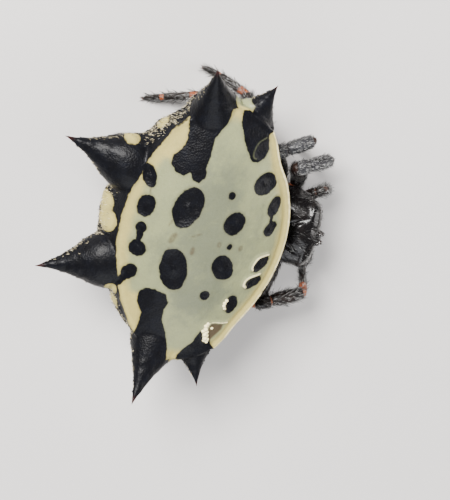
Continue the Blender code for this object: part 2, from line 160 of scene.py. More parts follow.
@dataclass
class Shape:
    """A mesh in the making.

    Args:
        points: Points in millimetres.
        faces: Four point numbers a face, the last -1 for a triangle.
        values: Numbers for each point, by name.
        patch: Where each point lies on an unwrap, if it has one.
    """

    points: np.ndarray
    faces: np.ndarray
    values: dict[str, np.ndarray] = field(default_factory=dict)
    patch: np.ndarray | None = None

    @staticmethod
    def joined(shapes: Sequence["Shape"]) -> "Shape":
        """Several shapes as one.

        Args:
            shapes: Shapes that hold values of the same names.

        Returns:
            The joined shape.
        """
        starts = np.cumsum([0] + [len(shape.points) for shape in shapes[:-1]])
        faces = [np.where(s.faces >= 0, s.faces + start, -1) for s, start in zip(shapes, starts)]
        values = {name: np.concatenate([s.values[name] for s in shapes]) for name in shapes[0].values}
        patch = None if shapes[0].patch is None else np.concatenate([s.patch for s in shapes])
        return Shape(np.concatenate([s.points for s in shapes]), np.concatenate(faces), values, patch)

    def triangles(self) -> np.ndarray:
        """Its faces as triangles."""
        quads = self.faces[self.faces[:, 3] >= 0]
        return np.concatenate([self.faces[:, :3], quads[:, [0, 2, 3]]])

    def normals(self) -> np.ndarray:
        """The way out of the shape at each point.

        Returns:
            Vectors of length one.
        """
        corners = self.triangles()
        a, b, c = (self.points[corners[:, k]] for k in range(3))
        across = np.cross(b - a, c - a)
        total = np.zeros_like(self.points)
        for k in range(3):
            for axis in range(3):
                total[:, axis] += np.bincount(corners[:, k], across[:, axis], len(self.points))
        return unit(total)

    def links(self) -> np.ndarray:
        """Which points lie beside which.

        Returns:
            Pairs of point numbers, each edge in both directions.
        """
        used = np.where(self.faces >= 0, self.faces, self.faces[:, :1])
        pairs = np.concatenate([np.stack([used[:, k], used[:, (k + 1) % 4]], 1) for k in range(4)])
        pairs = np.unique(np.sort(pairs[pairs[:, 0] != pairs[:, 1]], axis=1), axis=0)
        return np.concatenate([pairs, pairs[:, ::-1]])

    def outward(self) -> "Shape":
        """Turns the faces outward.

        Returns:
            The same shape, changed.
        """
        corners = self.triangles()
        a, b, c = (self.points[corners[:, k]] for k in range(3))
        if np.einsum("ij,ij->", a, np.cross(b, c)) < 0:
            quads = self.faces[:, 3] >= 0
            self.faces = np.where(quads[:, None], self.faces[:, [3, 2, 1, 0]], self.faces[:, [2, 1, 0, 3]])
        return self

    def smoothed(self, rounds: int, share: np.ndarray | float = 1.0) -> "Shape":
        """The shape with its steps and creases eased.

        Args:
            rounds: How many times it is eased.
            share: How much each point takes part, between 0 and 1.

        Returns:
            The same shape, changed.
        """
        links = self.links()
        share = np.asarray(share, float).reshape(-1, 1)
        for factor in EASING * rounds:
            self.points = self.points + factor * share * (mean_beside(links, self.points) - self.points)
        return self

    def spread(self, values: np.ndarray, rounds: int) -> np.ndarray:
        """Spreads values over the points beside each point.

        Args:
            values: A number for each point.
            rounds: How many times they spread.

        Returns:
            The softened values.
        """
        links = self.links()
        for _ in range(rounds):
            values = 0.5 * values + 0.5 * mean_beside(links, values)
        return values

    def mesh(self, name: str, scale: float = MM) -> bpy.types.Mesh:
        """The shape as a Blender mesh.

        Args:
            name: The mesh's name.
            scale: Blender units to a millimetre.

        Returns:
            The mesh, with its values as attributes and its patch as a UV map.
        """
        used = self.faces >= 0
        corners = self.faces[used].astype(np.int32)
        starts = np.concatenate([[0], np.cumsum(used.sum(1))[:-1]]).astype(np.int32)
        mesh = bpy.data.meshes.new(name)
        mesh.vertices.add(len(self.points))
        mesh.vertices.foreach_set("co", (self.points * scale).astype(np.float32).ravel())
        mesh.loops.add(len(corners))
        mesh.polygons.add(len(starts))
        mesh.polygons.foreach_set("loop_start", starts)
        mesh.polygons.foreach_set("vertices", corners)
        for title, values in self.values.items():
            if values.ndim == 1:
                layer = mesh.attributes.new(title, "FLOAT", "POINT")
                layer.data.foreach_set("value", values.astype(np.float32))
        if self.patch is not None:
            chart = mesh.uv_layers.new(name="OFBake")
            chart.data.foreach_set("uv", self.patch[corners].astype(np.float32).ravel())
        mesh.update(calc_edges=True)
        mesh.validate()
        mesh.shade_smooth()
        return mesh

    def piece(self, name: str, look: bpy.types.Material, slot: str, *nodes: str) -> bpy.types.Object:
        """Puts the shape into the scene as a piece of the spider.

        Args:
            name: The piece's name.
            look: Its material.
            slot: Not used.
            nodes: The CAD nodes that it stands for.

        Returns:
            The new object.
        """
        made = bpy.data.objects.new(name, self.mesh(name))
        bpy.context.scene.collection.objects.link(made)
        made.data.materials.append(look)
        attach(made, BODY)
        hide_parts(*nodes)
        LOG.info("%s: %d faces", name, len(self.faces))
        return made


def loft(rings: np.ndarray, **values: np.ndarray) -> Shape:
    """A closed body through rings, each end closed to its middle.

    Args:
        rings: Points as (ring, point round it, 3).
        values: One number for each ring, by name.

    Returns:
        The body.
    """
    count, sides = rings.shape[:2]
    grid = np.arange(count * sides).reshape(count, sides)
    beside = np.roll(grid, -1, axis=1)
    quads = np.stack([grid[:-1], beside[:-1], beside[1:], grid[1:]], -1).reshape(-1, 4)
    first, last = count * sides, count * sides + 1
    none = np.full(sides, -1)
    front = np.stack([beside[0], grid[0], np.full(sides, first), none], -1)
    back = np.stack([grid[-1], beside[-1], np.full(sides, last), none], -1)
    points = np.concatenate([rings.reshape(-1, 3), [rings[0].mean(0)], [rings[-1].mean(0)]])
    held = {}
    for name, run in values.items():
        run = np.asarray(run, float)
        held[name] = np.concatenate([np.repeat(run, sides, axis=0), run[:1], run[-1:]])
    return Shape(points, np.concatenate([quads, front, back]), held).outward()


def oval(centre: np.ndarray, way: np.ndarray, wide: float, high: float, sides: int) -> np.ndarray:
    """An oval ring across a way, its high side as near to upright as can be.

    Args:
        centre: Its middle.
        way: The way that it lies across.
        wide: Half its width.
        high: Half its height.
        sides: Points in the ring.

    Returns:
        The ring.
    """
    way = unit(way)
    across = np.cross(way, [0.0, 0.0, 1.0])
    if np.linalg.norm(across) < 0.05:
        across = np.cross(way, [0.0, 1.0, 0.0])
    across = unit(across)
    turns = TURN * np.arange(sides) / sides
    rise = np.cross(across, way)
    return centre + np.outer(np.cos(turns), across * wide) + np.outer(np.sin(turns), rise * high)


def tube(
    path: np.ndarray, wide: np.ndarray, high: np.ndarray, sides: int, up: Point = (0, 0, 1)
) -> np.ndarray:
    """Oval rings along a path that don't twist.

    Args:
        path: The middle of each ring.
        wide: Half the width of each ring.
        high: Half the height of each ring.
        sides: Points in a ring.
        up: The way that the first ring's height points, as near as can be.

    Returns:
        The rings.
    """
    along = unit(np.gradient(path, axis=0))
    turns = TURN * np.arange(sides) / sides
    lead, rings = np.asarray(up, float), []
    for centre, way, half, rise in zip(path, along, wide, high):
        lead = lead - way * (lead @ way)
        if np.linalg.norm(lead) < 1e-3:
            lead = np.cross(way, [1.0, 0.2, 0.1])
        lead = unit(lead)
        across = np.cross(way, lead)
        rings.append(centre + np.outer(np.cos(turns), across * half) + np.outer(np.sin(turns), lead * rise))
    return np.array(rings)


def ball(centre: np.ndarray, radii: Sequence[float], sides: int = 24) -> Shape:
    """A closed ellipsoid with its poles up and down.

    Args:
        centre: Its middle.
        radii: Its radii along the three axes.
        sides: Points in a ring.

    Returns:
        The ellipsoid.
    """
    lats = np.linspace(-0.47, 0.47, sides // 2) * math.pi
    turns = TURN * np.arange(sides) / sides
    rings = np.stack([
        np.outer(np.cos(lats), np.cos(turns)) * radii[0],
        np.outer(np.cos(lats), np.sin(turns)) * radii[1],
        np.outer(np.sin(lats), np.ones(sides)) * radii[2],
    ], -1)
    return loft(rings + centre)


def voxel_skin(shapes: Sequence[Shape], size: float) -> Shape:
    """One closed skin round shapes that overlap.

    Args:
        shapes: Closed shapes.
        size: The side of a voxel in millimetres.

    Returns:
        The skin, its points in a fixed order.
    """
    rough = bpy.data.objects.new("rough", Shape.joined(shapes).mesh("rough", 1.0))
    bpy.context.scene.collection.objects.link(rough)
    wrap = rough.modifiers.new("wrap", "REMESH")
    wrap.mode = "VOXEL"
    wrap.voxel_size = size
    graph = bpy.context.evaluated_depsgraph_get()
    made = bpy.data.meshes.new_from_object(rough.evaluated_get(graph))
    points = np.empty(len(made.vertices) * 3)
    made.vertices.foreach_get("co", points)
    points = points.reshape(-1, 3)
    faces = np.array([list(face.vertices) + [-1] * (4 - len(face.vertices)) for face in made.polygons])
    bpy.data.objects.remove(rough)
    order = np.lexsort(points.round(5).T)
    rank = np.empty(len(order), int)
    rank[order] = np.arange(len(order))
    faces = np.where(faces >= 0, rank[faces], -1)
    return Shape(points[order], faces[np.lexsort(faces.T)]).outward()


# Hairs and grains that grow on a shape.


@dataclass(frozen=True)
class Roots:
    """Where hairs or grains are rooted on a skin.

    Args:
        points: The roots.
        normals: The way out of the skin.
        lie: The way along the skin that a hair leans.
        patch: Each root's place on an unwrap of the skin.
        values: The skin's own values there.
    """

    points: np.ndarray
    normals: np.ndarray
    lie: np.ndarray
    patch: np.ndarray
    values: dict[str, np.ndarray]


def scatter(
    skin: Shape, count: int, share: np.ndarray, lie: np.ndarray, patch: np.ndarray, draw: np.random.Generator
) -> Roots:
    """Draws roots on a skin.

    Args:
        skin: The shape they stand on.
        count: How many.
        share: How thickly they stand at each of its points.
        lie: The way they lean at each of its points.
        patch: An unwrap of the skin, two numbers for each of its points.
        draw: The seeded generator.

    Returns:
        The roots.
    """
    corners = skin.triangles()
    a, b, c = (skin.points[corners[:, k]] for k in range(3))
    area = np.linalg.norm(np.cross(b - a, c - a), axis=1) * share[corners].mean(1)
    chosen = corners[draw.choice(len(corners), count, p=area / area.sum())]
    u, v = draw.random((2, count))
    over = u + v > 1
    u, v = np.where(over, 1 - u, u), np.where(over, 1 - v, v)
    weights = np.stack([1 - u - v, u, v], 1)

    def blend(numbers: np.ndarray) -> np.ndarray:
        """The numbers at the roots."""
        return np.einsum("ij,ij...->i...", weights, numbers[chosen])

    normals = unit(blend(skin.normals()))
    leaning = blend(lie) + 0.25 * draw.normal(size=(count, 3))
    leaning = unit(leaning - normals * np.einsum("ij,ij->i", leaning, normals)[:, None])
    values = {name: blend(run) for name, run in skin.values.items() if run.ndim == 1}
    return Roots(blend(skin.points), normals, leaning, blend(patch), values)


def repeated(
    points: np.ndarray, faces: Sequence[Sequence[int]], patch: np.ndarray, values: dict[str, np.ndarray]
) -> Shape:
    """Many copies of one small closed form as one shape.

    Args:
        points: Points as (copy, point, 3).
        faces: The faces of one copy.
        patch: Places on an unwrap as (copy, point, 2).
        values: One number for each copy, by name.

    Returns:
        The shape.
    """
    count, each = points.shape[:2]
    block = np.array(faces)[None]
    numbers = np.where(block >= 0, block + np.arange(count)[:, None, None] * each, -1)
    held = {name: np.repeat(run, each) for name, run in values.items()}
    return Shape(points.reshape(-1, 3), numbers.reshape(-1, 4), held, patch.reshape(-1, 2)).outward()


@dataclass(frozen=True)
class Hair:
    """A growth of hairs, each a solid tapered thread.

    Args:
        length: Shortest and longest.
        width: Thickness at the root.
        rise: Degrees that the hair stands off the skin at its root.
        droop: Degrees that it bends over by its tip.
        pale: How pale the hairs are, 0 to 1.
        rings: Rings of points before the tip.
    """

    length: tuple[float, float]
    width: float = 0.022
    rise: float = 40.0
    droop: float = 25.0
    pale: float = 0.5
    rings: int = 3

    def grown(self, roots: Roots, draw: np.random.Generator, longer: np.ndarray | float = 1.0) -> Shape:
        """The hairs on their roots.

        Args:
            roots: Where they stand.
            draw: The seeded generator.
            longer: A factor on each one's length.

        Returns:
            All the hairs as one shape.
        """
        count = len(roots.points)
        length = draw.uniform(*self.length, count) * longer
        rise = np.radians(self.rise * draw.uniform(0.75, 1.3, count))
        side = np.cross(roots.normals, roots.lie)
        turns = TURN * np.arange(3) / 3
        centre = roots.points - roots.normals * (0.6 * self.width)
        rings, patches = [], []
        for k in range(self.rings + 1):
            share = k / self.rings
            angle = rise - math.radians(self.droop) * share
            way = roots.normals * np.sin(angle)[:, None] + roots.lie * np.cos(angle)[:, None]
            if k:
                centre = centre + way * (length / self.rings)[:, None]
            across = np.cross(side, way)
            half = 0.5 * self.width * (1.0 - 0.75 * share)
            if k == self.rings:
                rings.append(centre[:, None])
                patches.append(roots.patch[:, None])
                continue
            ring = np.cos(turns)[:, None] * side[:, None] + np.sin(turns)[:, None] * across[:, None]
            rings.append(centre[:, None] + half * ring)
            spot = np.stack([np.cos(turns), np.sin(turns)], -1) * PATCH_REACH * (1.0 - 0.8 * share)
            patches.append(roots.patch[:, None] + spot)
        points = np.concatenate(rings, 1)
        points[..., 2] = np.maximum(points[..., 2], LEAST_UP)
        faces = [(2, 1, 0, -1)]
        for k in range(self.rings - 1):
            low = 3 * k
            faces += [(low + i, low + j, low + 3 + j, low + 3 + i) for i, j in ((0, 1), (1, 2), (2, 0))]
        top = 3 * (self.rings - 1)
        faces += [(top + i, top + j, top + 3, -1) for i, j in ((0, 1), (1, 2), (2, 0))]
        tone = np.clip(self.pale + 0.18 * draw.normal(size=count), 0, 1)
        return repeated(points, faces, np.concatenate(patches, 1), {**roots.values, "pale": tone})


@dataclass(frozen=True)
class Grain:
    """A growth of low round grains.

    Args:
        radius: Smallest and largest.
        height: Height as a share of the radius.
        sides: Points round each grain, an even number.
    """

    radius: tuple[float, float]
    height: float = 0.8
    sides: int = 6

    def grown(self, roots: Roots, draw: np.random.Generator, larger: np.ndarray | float = 1.0) -> Shape:
        """The grains on their roots.

        Args:
            roots: Where they stand.
            draw: The seeded generator.
            larger: A factor on each one's radius.

        Returns:
            All the grains as one shape.
        """
        count, sides = len(roots.points), self.sides
        radius = draw.uniform(*self.radius, count) * larger
        side = np.cross(roots.normals, roots.lie)
        turns = TURN * np.arange(sides) / sides
        rings = []
        for share, rise in ((1.0, -0.5), (1.0, 0.1), (0.72, 0.7)):
            flat = np.cos(turns)[:, None] * side[:, None] + np.sin(turns)[:, None] * roots.lie[:, None]
            up = roots.normals * (radius * rise * self.height)[:, None]
            rings.append(roots.points[:, None] + up[:, None] + flat * (radius * share)[:, None, None])
        rings.append((roots.points + roots.normals * (radius * self.height)[:, None])[:, None])
        points = np.concatenate(rings, 1)
        faces = [(k + 3, k + 2, k + 1, 0) for k in range(0, sides - 2, 2)]
        steps = [(i, (i + 1) % sides) for i in range(sides)]
        for k in (0, sides):
            faces += [(k + i, k + j, k + sides + j, k + sides + i) for i, j in steps]
        faces += [(2 * sides + i, 2 * sides + j, 3 * sides, -1) for i, j in steps]
        circle = np.stack([np.cos(turns), np.sin(turns)], -1) * PATCH_REACH
        spots = np.concatenate([*(circle * share for share in (1.0, 0.8, 0.5)), [[0.0, 0.0]]])
        return repeated(points, faces, roots.patch[:, None] + spots, roots.values)


# Materials. Signal wraps a socket, so that sums between sockets read as sums.


class Signal:
    """A socket of a material's nodes that can be added, multiplied and so on."""

    def __init__(self, paint: "Paint", socket: bpy.types.NodeSocket) -> None:
        """Keeps the socket and the paint whose nodes it belongs to."""
        self.paint = paint
        self.socket = socket

    def maths(self, operation: str, *others: object, turned: bool = False) -> "Signal":
        """A Math node on this signal.

        Args:
            operation: What it does.
            others: The other numbers or signals.
            turned: Whether the first of the others comes before this one.

        Returns:
            Its result.
        """
        values = [self, *others]
        if turned:
            values = [others[0], self, *others[1:]]
        return self.paint.node("ShaderNodeMath", {"operation": operation}, dict(enumerate(values)))

    def __add__(self, other: object) -> "Signal":
        """The sum."""
        return self.maths("ADD", other)

    def __radd__(self, other: object) -> "Signal":
        """The sum, the other first."""
        return self.maths("ADD", other, turned=True)

    def __sub__(self, other: object) -> "Signal":
        """The difference."""
        return self.maths("SUBTRACT", other)

    def __rsub__(self, other: object) -> "Signal":
        """The difference, the other first."""
        return self.maths("SUBTRACT", other, turned=True)

    def __mul__(self, other: object) -> "Signal":
        """The product."""
        return self.maths("MULTIPLY", other)

    def __rmul__(self, other: object) -> "Signal":
        """The product, the other first."""
        return self.maths("MULTIPLY", other, turned=True)

    def step(self, low: float, high: float) -> "Signal":
        """A smooth step from 0 at low to 1 at high."""
        sockets = {"Value": self, "From Min": low, "From Max": high, "To Min": 0.0, "To Max": 1.0}
        return self.paint.node("ShaderNodeMapRange", {"interpolation_type": "SMOOTHSTEP"}, sockets)


class Paint:
    """A material in the making."""

    def __init__(self, name: str) -> None:
        """Starts a material with one Principled shader.

        Args:
            name: The material's name.
        """
        self.material = bpy.data.materials.new(name)
        self.material.use_nodes = True
        self.nodes = self.material.node_tree.nodes
        self.links = self.material.node_tree.links
        self.shader = self.nodes["Principled BSDF"]
        where = self.node("ShaderNodeTexCoord", {}, {}, "Object")
        self.where = self.node("ShaderNodeVectorMath", {"operation": "SCALE"}, {0: where, "Scale": 1.0 / MM})

    def node(
        self, kind: str, settings: dict[str, object], sockets: dict[object, object], out: object = 0
    ) -> Signal:
        """Adds a node.

        Args:
            kind: The node's type.
            settings: Its settings, set before the sockets.
            sockets: Numbers, colours or signals for its inputs, by name or number.
            out: Which output is given back.

        Returns:
            That output.
        """
        made = self.nodes.new(kind)
        for name, value in settings.items():
            setattr(made, name, value)
        for key, value in sockets.items():
            if isinstance(value, Signal):
                self.links.new(value.socket, made.inputs[key])
            else:
                made.inputs[key].default_value = value
        return Signal(self, made.outputs[out])

    def value(self, name: str) -> Signal:
        """A value that the mesh carries."""
        return self.node("ShaderNodeAttribute", {"attribute_name": name}, {}, "Fac")

    def noise(
        self, scale: float, detail: float = 3.0, rough: float = 0.55, where: Signal | None = None
    ) -> Signal:
        """Noise around zero, with so many swells to a millimetre."""
        sockets = {"Vector": where or self.where, "Scale": scale, "Detail": detail, "Roughness": rough}
        return self.node("ShaderNodeTexNoise", {}, sockets, "Fac") - 0.5

    def cells(self, scale: float) -> Signal:
        """The distance to the nearest of many scattered points, smooth between them."""
        sockets = {"Vector": self.where, "Scale": scale, "Smoothness": 0.4}
        return self.node("ShaderNodeTexVoronoi", {"feature": "SMOOTH_F1"}, sockets, "Distance")

    def mix(self, first: object, second: object, share: object) -> Signal:
        """A colour between two."""
        first, second = (c if isinstance(c, Signal) else (*c, 1.0) for c in (first, second))
        return self.node("ShaderNodeMix", {"data_type": "RGBA"}, {0: share, 6: first, 7: second}, 2)

    def lit(self, colour: Signal, factor: Signal) -> Signal:
        """A colour made lighter or darker by a factor."""
        grey = self.node("ShaderNodeCombineXYZ", {}, {0: factor, 1: factor, 2: factor})
        return self.node("ShaderNodeVectorMath", {"operation": "MULTIPLY"}, {0: colour, 1: grey})

    def bump(self, height: Signal, depth: float) -> Signal:
        """A bump of so many millimetres for a height of one."""
        return self.node("ShaderNodeBump", {}, {"Strength": 1.0, "Distance": depth * MM, "Height": height})

    def done(self, **sockets: object) -> bpy.types.Material:
        """Sets the shader's sockets and gives the material back.

        Args:
            sockets: Numbers or signals, by the socket's name with _ for a space.

        Returns:
            The material.
        """
        for name, value in sockets.items():
            socket = self.shader.inputs[name.replace("_", " ")]
            if isinstance(value, Signal):
                self.links.new(value.socket, socket)
            else:
                socket.default_value = value
        return self.material


@dataclass(frozen=True)
class ShellFinish:
    """The abdomen's cuticle: pale with black marks, black on the walls and spines.

    Args:
        pale: The plate's ground.
        grey: Greyer clouds in it.
        warm: Its warm stretches and the blotches of the walls.
        rim: Rim, ridges and beads.
        stain_and_shade: Faint stains and the edges of the black marks, and painted shade in the groove inside
            the front rim and beside the raised pale arcs at the right.
        black: Marks, walls and spines.
        sheen: A painted bluish sheen, mixed into the black in clouds and specks.
        tip: The spines' tips.
    """

    pale: Colour = (0.205, 0.220, 0.115)
    grey: Colour = (0.115, 0.128, 0.082)
    warm: Colour = (0.36, 0.305, 0.100)
    rim: Colour = (0.86, 0.76, 0.42)
    stain_and_shade: Colour = (0.060, 0.045, 0.027)
    black: Colour = (0.0028, 0.0028, 0.0036)
    sheen: Colour = (0.0045, 0.0052, 0.0085)
    tip: Colour = (0.026, 0.006, 0.005)

    def material(self) -> bpy.types.Material:
        """Builds the finish.

        Returns:
            The material.
        """
        paint = Paint("shell")
        ink, warm, rim = paint.value("ink"), paint.value("warm"), paint.value("rim")
        cloud, mottle, speck = paint.noise(0.8, 4.0), paint.noise(3.5, 5.0, 0.6), paint.noise(22.0, 3.0, 0.65)
        greyer = paint.value("core") * 0.80 + cloud * 1.8 + mottle * 1.1 + 0.12
        colour = paint.mix(self.pale, self.grey, greyer.step(0.0, 1.0))
        colour = paint.mix(colour, self.warm, (warm + mottle * 0.5).step(0.15, 1.0))
        colour = paint.mix(colour, self.rim, (rim + mottle * 0.3).step(0.25, 0.85))
        # The stain value holds real faint stains, painted shade in the groove inside the front rim and a
        # painted shadow beside the raised pale arcs at the right.
        stain_and_shade_share = paint.value("stain_and_shade") + mottle * 0.5
        colour = paint.mix(colour, self.stain_and_shade, stain_and_shade_share.step(0.25, 1.3))
        colour = paint.lit(colour, 1.0 + mottle * 0.28 + speck * 0.34)
        edge = ink + paint.noise(2.6, 2.0) * 0.13 + paint.noise(9.0, 3.0) * 0.05 + speck * 0.012
        inside = 1.0 - edge.step(-0.018, 0.022)
        halo = (1.0 - ink.step(0.0, 0.14)) * 0.34
        colour = paint.mix(colour, self.stain_and_shade, halo)
        # Painted sheen: a bluish sheen mixed into the black in clouds and specks.
        black = paint.mix(self.black, self.sheen, (mottle * 1.5 + speck + 0.3).step(0.0, 1.2))
        black = paint.mix(black, self.tip, paint.value("tip"))
        traced = 1.0 - (paint.value("trace") + speck * 0.02).step(0.012, 0.042)
        black = paint.mix(black, self.pale, traced * 0.15)
        colour = paint.mix(colour, black, inside)
        grains = paint.cells(17.0)
        pits = paint.cells(9.0)
        height = speck * 0.45 + inside * grains * 0.55 + (1.0 - inside) * pits * 0.45
        rough = 0.42 + mottle * 0.16 + speck * 0.12 - inside * 0.04
        return paint.done(
            Base_Color=colour,
            Roughness=rough,
            Normal=paint.bump(height, 0.017),
            Coat_Weight=0.10 - inside * 0.08,
            Coat_Roughness=0.16,
            Specular_IOR_Level=0.07,
        )


@dataclass(frozen=True)
class CuticleFinish:
    """Black, shiny cuticle with fine grains, such as the carapace and the jaws have.

    Args:
        name: The material's name.
        dark: The cuticle's colour.
        worn: Its colour where it is thin.
        grain: Grains to a millimetre.
        depth: Depth of the bumps in millimetres.
        rough: Mean roughness.
    """

    name: str = "black_cuticle"
    dark: Colour = (0.0030, 0.0028, 0.0032)
    worn: Colour = (0.012, 0.009, 0.008)
    grain: float = 14.0
    depth: float = 0.009
    rough: float = 0.27

    def material(self) -> bpy.types.Material:
        """Builds the finish.

        Returns:
            The material.
        """
        paint = Paint(self.name)
        cloud, speck = paint.noise(2.2, 4.0), paint.noise(26.0, 3.0, 0.6)
        colour = paint.mix(self.dark, self.worn, (cloud * 1.5 + speck * 0.6 + 0.25).step(0.0, 1.1))
        height = paint.cells(self.grain) * 0.7 + speck * 0.5
        return paint.done(
            Base_Color=colour,
            Roughness=self.rough + cloud * 0.22 + speck * 0.16,
            Normal=paint.bump(height, self.depth),
            Coat_Weight=0.20 + cloud * 0.5,
            Coat_Roughness=0.12,
            Specular_IOR_Level=0.14,
        )


@dataclass(frozen=True)
class LegFinish:
    """Legs and palps: black, with rust-coloured bands and soft orange joints.

    Args:
        dark: The cuticle.
        brown: The cuticle where it is thin.
        rust: The bands.
        orange: The soft joints.
        dusty: Grey dust on the silvery segments.
    """

    dark: Colour = (0.0040, 0.0034, 0.0034)
    brown: Colour = (0.016, 0.0075, 0.0050)
    rust: Colour = (0.17, 0.043, 0.015)
    orange: Colour = (0.30, 0.092, 0.034)
    dusty: Colour = (0.026, 0.027, 0.031)

    def material(self) -> bpy.types.Material:
        """Builds the finish.

        Returns:
            The material.
        """
        paint = Paint("leg_cuticle")
        cloud, speck = paint.noise(3.0, 4.0), paint.noise(30.0, 3.0, 0.6)
        band = paint.value("band") + cloud * 0.35 + speck * 0.1
        soft = paint.value("soft")
        colour = paint.mix(self.dark, self.brown, (cloud * 1.8 + 0.35).step(0.0, 1.0))
        dust = (paint.value("silver") * 2.2 + cloud * 1.6 + speck * 1.4 - 0.55).step(0.0, 0.8)
        colour = paint.mix(colour, self.dusty, dust * 0.85)
        colour = paint.mix(colour, self.rust, band.step(0.35, 0.75))
        colour = paint.mix(colour, self.orange, soft)
        colour = paint.lit(colour, 1.0 + speck * 0.5)
        height = paint.cells(20.0) * 0.7 + speck * 0.5
        return paint.done(
            Base_Color=colour,
            Roughness=0.36 + cloud * 0.2 + soft * 0.15,
            Normal=paint.bump(height, 0.012),
            Coat_Weight=0.06 + cloud * 0.2,
            Coat_Roughness=0.18,
            Specular_IOR_Level=0.24,
        )


@dataclass(frozen=True)
class HairFinish:
    """Hairs and bristles, from near black to silver or pale gold.

    Args:
        name: The material's name.
        dark: The darkest hairs.
        light: The palest hairs.
    """

    name: str = "hair"
    dark: Colour = (0.004, 0.0035, 0.0035)
    light: Colour = (0.50, 0.50, 0.49)

    def material(self) -> bpy.types.Material:
        """Builds the finish.

        Returns:
            The material.
        """
        paint = Paint(self.name)
        speck = paint.noise(18.0, 2.0)
        colour = paint.mix(self.dark, self.light, (paint.value("pale") + speck * 0.3).step(0.1, 0.95))
        return paint.done(Base_Color=colour, Roughness=0.42 + speck * 0.2, Specular_IOR_Level=0.3)


@dataclass(frozen=True)
class SpinneretFinish:
    """Dark brown cuticle in fine folds.

    Args:
        dark: The darker folds.
        brown: The lighter folds.
    """

    dark: Colour = (0.020, 0.009, 0.006)
    brown: Colour = (0.13, 0.055, 0.024)

    def material(self) -> bpy.types.Material:
        """Builds the finish.

        Returns:
            The material.
        """
        paint = Paint("spinneret_brown")
        cloud, speck = paint.noise(4.0, 4.0), paint.noise(24.0, 3.0, 0.6)
        sockets = {0: paint.where, 1: (1.0, 1.0, 6.0)}
        stretched = paint.node("ShaderNodeVectorMath", {"operation": "MULTIPLY"}, sockets)
        folds = paint.noise(7.0, 2.0, 0.5, stretched)
        colour = paint.mix(self.dark, self.brown, (cloud * 1.6 + folds + 0.4).step(0.0, 1.0))
        return paint.done(
            Base_Color=colour,
            Roughness=0.45 + speck * 0.25,
            Normal=paint.bump(folds * 1.4 + speck * 0.6, 0.022),
            Coat_Weight=0.1,
        )


@dataclass(frozen=True)
class EyeFinish:
    """Wet, black eyes with a faint amber depth.

    Args:
        dark: The eye's colour.
        amber: Its lighter clouds.
    """

    dark: Colour = (0.004, 0.003, 0.003)
    amber: Colour = (0.045, 0.018, 0.006)

    def material(self) -> bpy.types.Material:
        """Builds the finish.

        Returns:
            The material.
        """
        paint = Paint("eye_black")
        cloud = paint.noise(9.0, 2.0)
        colour = paint.mix(self.dark, self.amber, (cloud * 1.4 + 0.1).step(0.0, 1.0))
        rough = 0.06 + cloud * 0.03
        return paint.done(Base_Color=colour, Roughness=rough, Coat_Weight=0.8, Coat_Roughness=0.03)


@dataclass(frozen=True)
class FloorFinish:
    """A plain pale floor.

    Args:
        base: The floor's colour.
        deep: Its darker clouds.
    """

    base: Colour = (0.62, 0.60, 0.585)
    deep: Colour = (0.57, 0.55, 0.54)

    def material(self) -> bpy.types.Material:
        """Builds the finish.

        Returns:
            The material.
        """
        paint = Paint("floor")
        cloud, speck = paint.noise(0.05, 3.0), paint.noise(3.0, 2.0)
        colour = paint.mix(self.base, self.deep, (cloud + 0.5).step(0.0, 1.0))
        return paint.done(Base_Color=colour, Roughness=0.8 + speck * 0.1)


class Finish(Enum):
    """The finishes by name, each made once."""

    SHELL = ShellFinish()
    CUTICLE = CuticleFinish()
    FANG = CuticleFinish("fang", (0.030, 0.007, 0.004), (0.10, 0.025, 0.010), 9.0, 0.005, 0.20)
    LEG = LegFinish()
    HAIR = HairFinish()
    # Pale gold hairs: real hairs whose gold tone is a painted glint of light.
    GOLD_GLINT = HairFinish("gold_glint_hair", (0.030, 0.020, 0.010), (0.78, 0.68, 0.44))
    SPINNERET = SpinneretFinish()
    EYE = EyeFinish()
    FLOOR = FloorFinish()

    @property
    def look(self) -> bpy.types.Material:
        """The finish's material, made at its first use.

        Returns:
            The one material of that name.
        """
        name = "look_" + self.name.lower()
        if name not in bpy.data.materials:
            self.value.material().name = name
        return bpy.data.materials[name]


# The abdomen.


@dataclass(frozen=True)
class Outline:
    """A mirrored outline round a centre.

    Args:
        keys: Degrees from the left towards the head, and the radius there.
    """

    keys: tuple[tuple[float, float], ...]

    def radius(self, degrees: np.ndarray) -> np.ndarray:
        """The radius in each direction, smooth between the keys.

        Args:
            degrees: Directions, from the left towards the head.

        Returns:
            The radii.
        """
        angle = (np.asarray(degrees, float) + 180.0) % 360.0 - 180.0
        angle = np.where(np.abs(angle) > 90.0, np.copysign(180.0, angle) - angle, angle)
        angles, radii = (list(column) for column in zip(*self.keys))
        angles = np.array([-180.0 - angles[1], *angles, 180.0 - angles[-2]])
        radii = np.array([radii[1], *radii, radii[-2]])
        slopes = np.gradient(radii, angles)
        k = np.clip(np.searchsorted(angles, angle) - 1, 1, len(angles) - 3)
        step = angles[k + 1] - angles[k]
        t = (angle - angles[k]) / step
        return (
            (2 * t**3 - 3 * t**2 + 1) * radii[k]
            + (t**3 - 2 * t**2 + t) * step * slopes[k]
            + (3 * t**2 - 2 * t**3) * radii[k + 1]
            + (t**3 - t**2) * step * slopes[k + 1]
        )


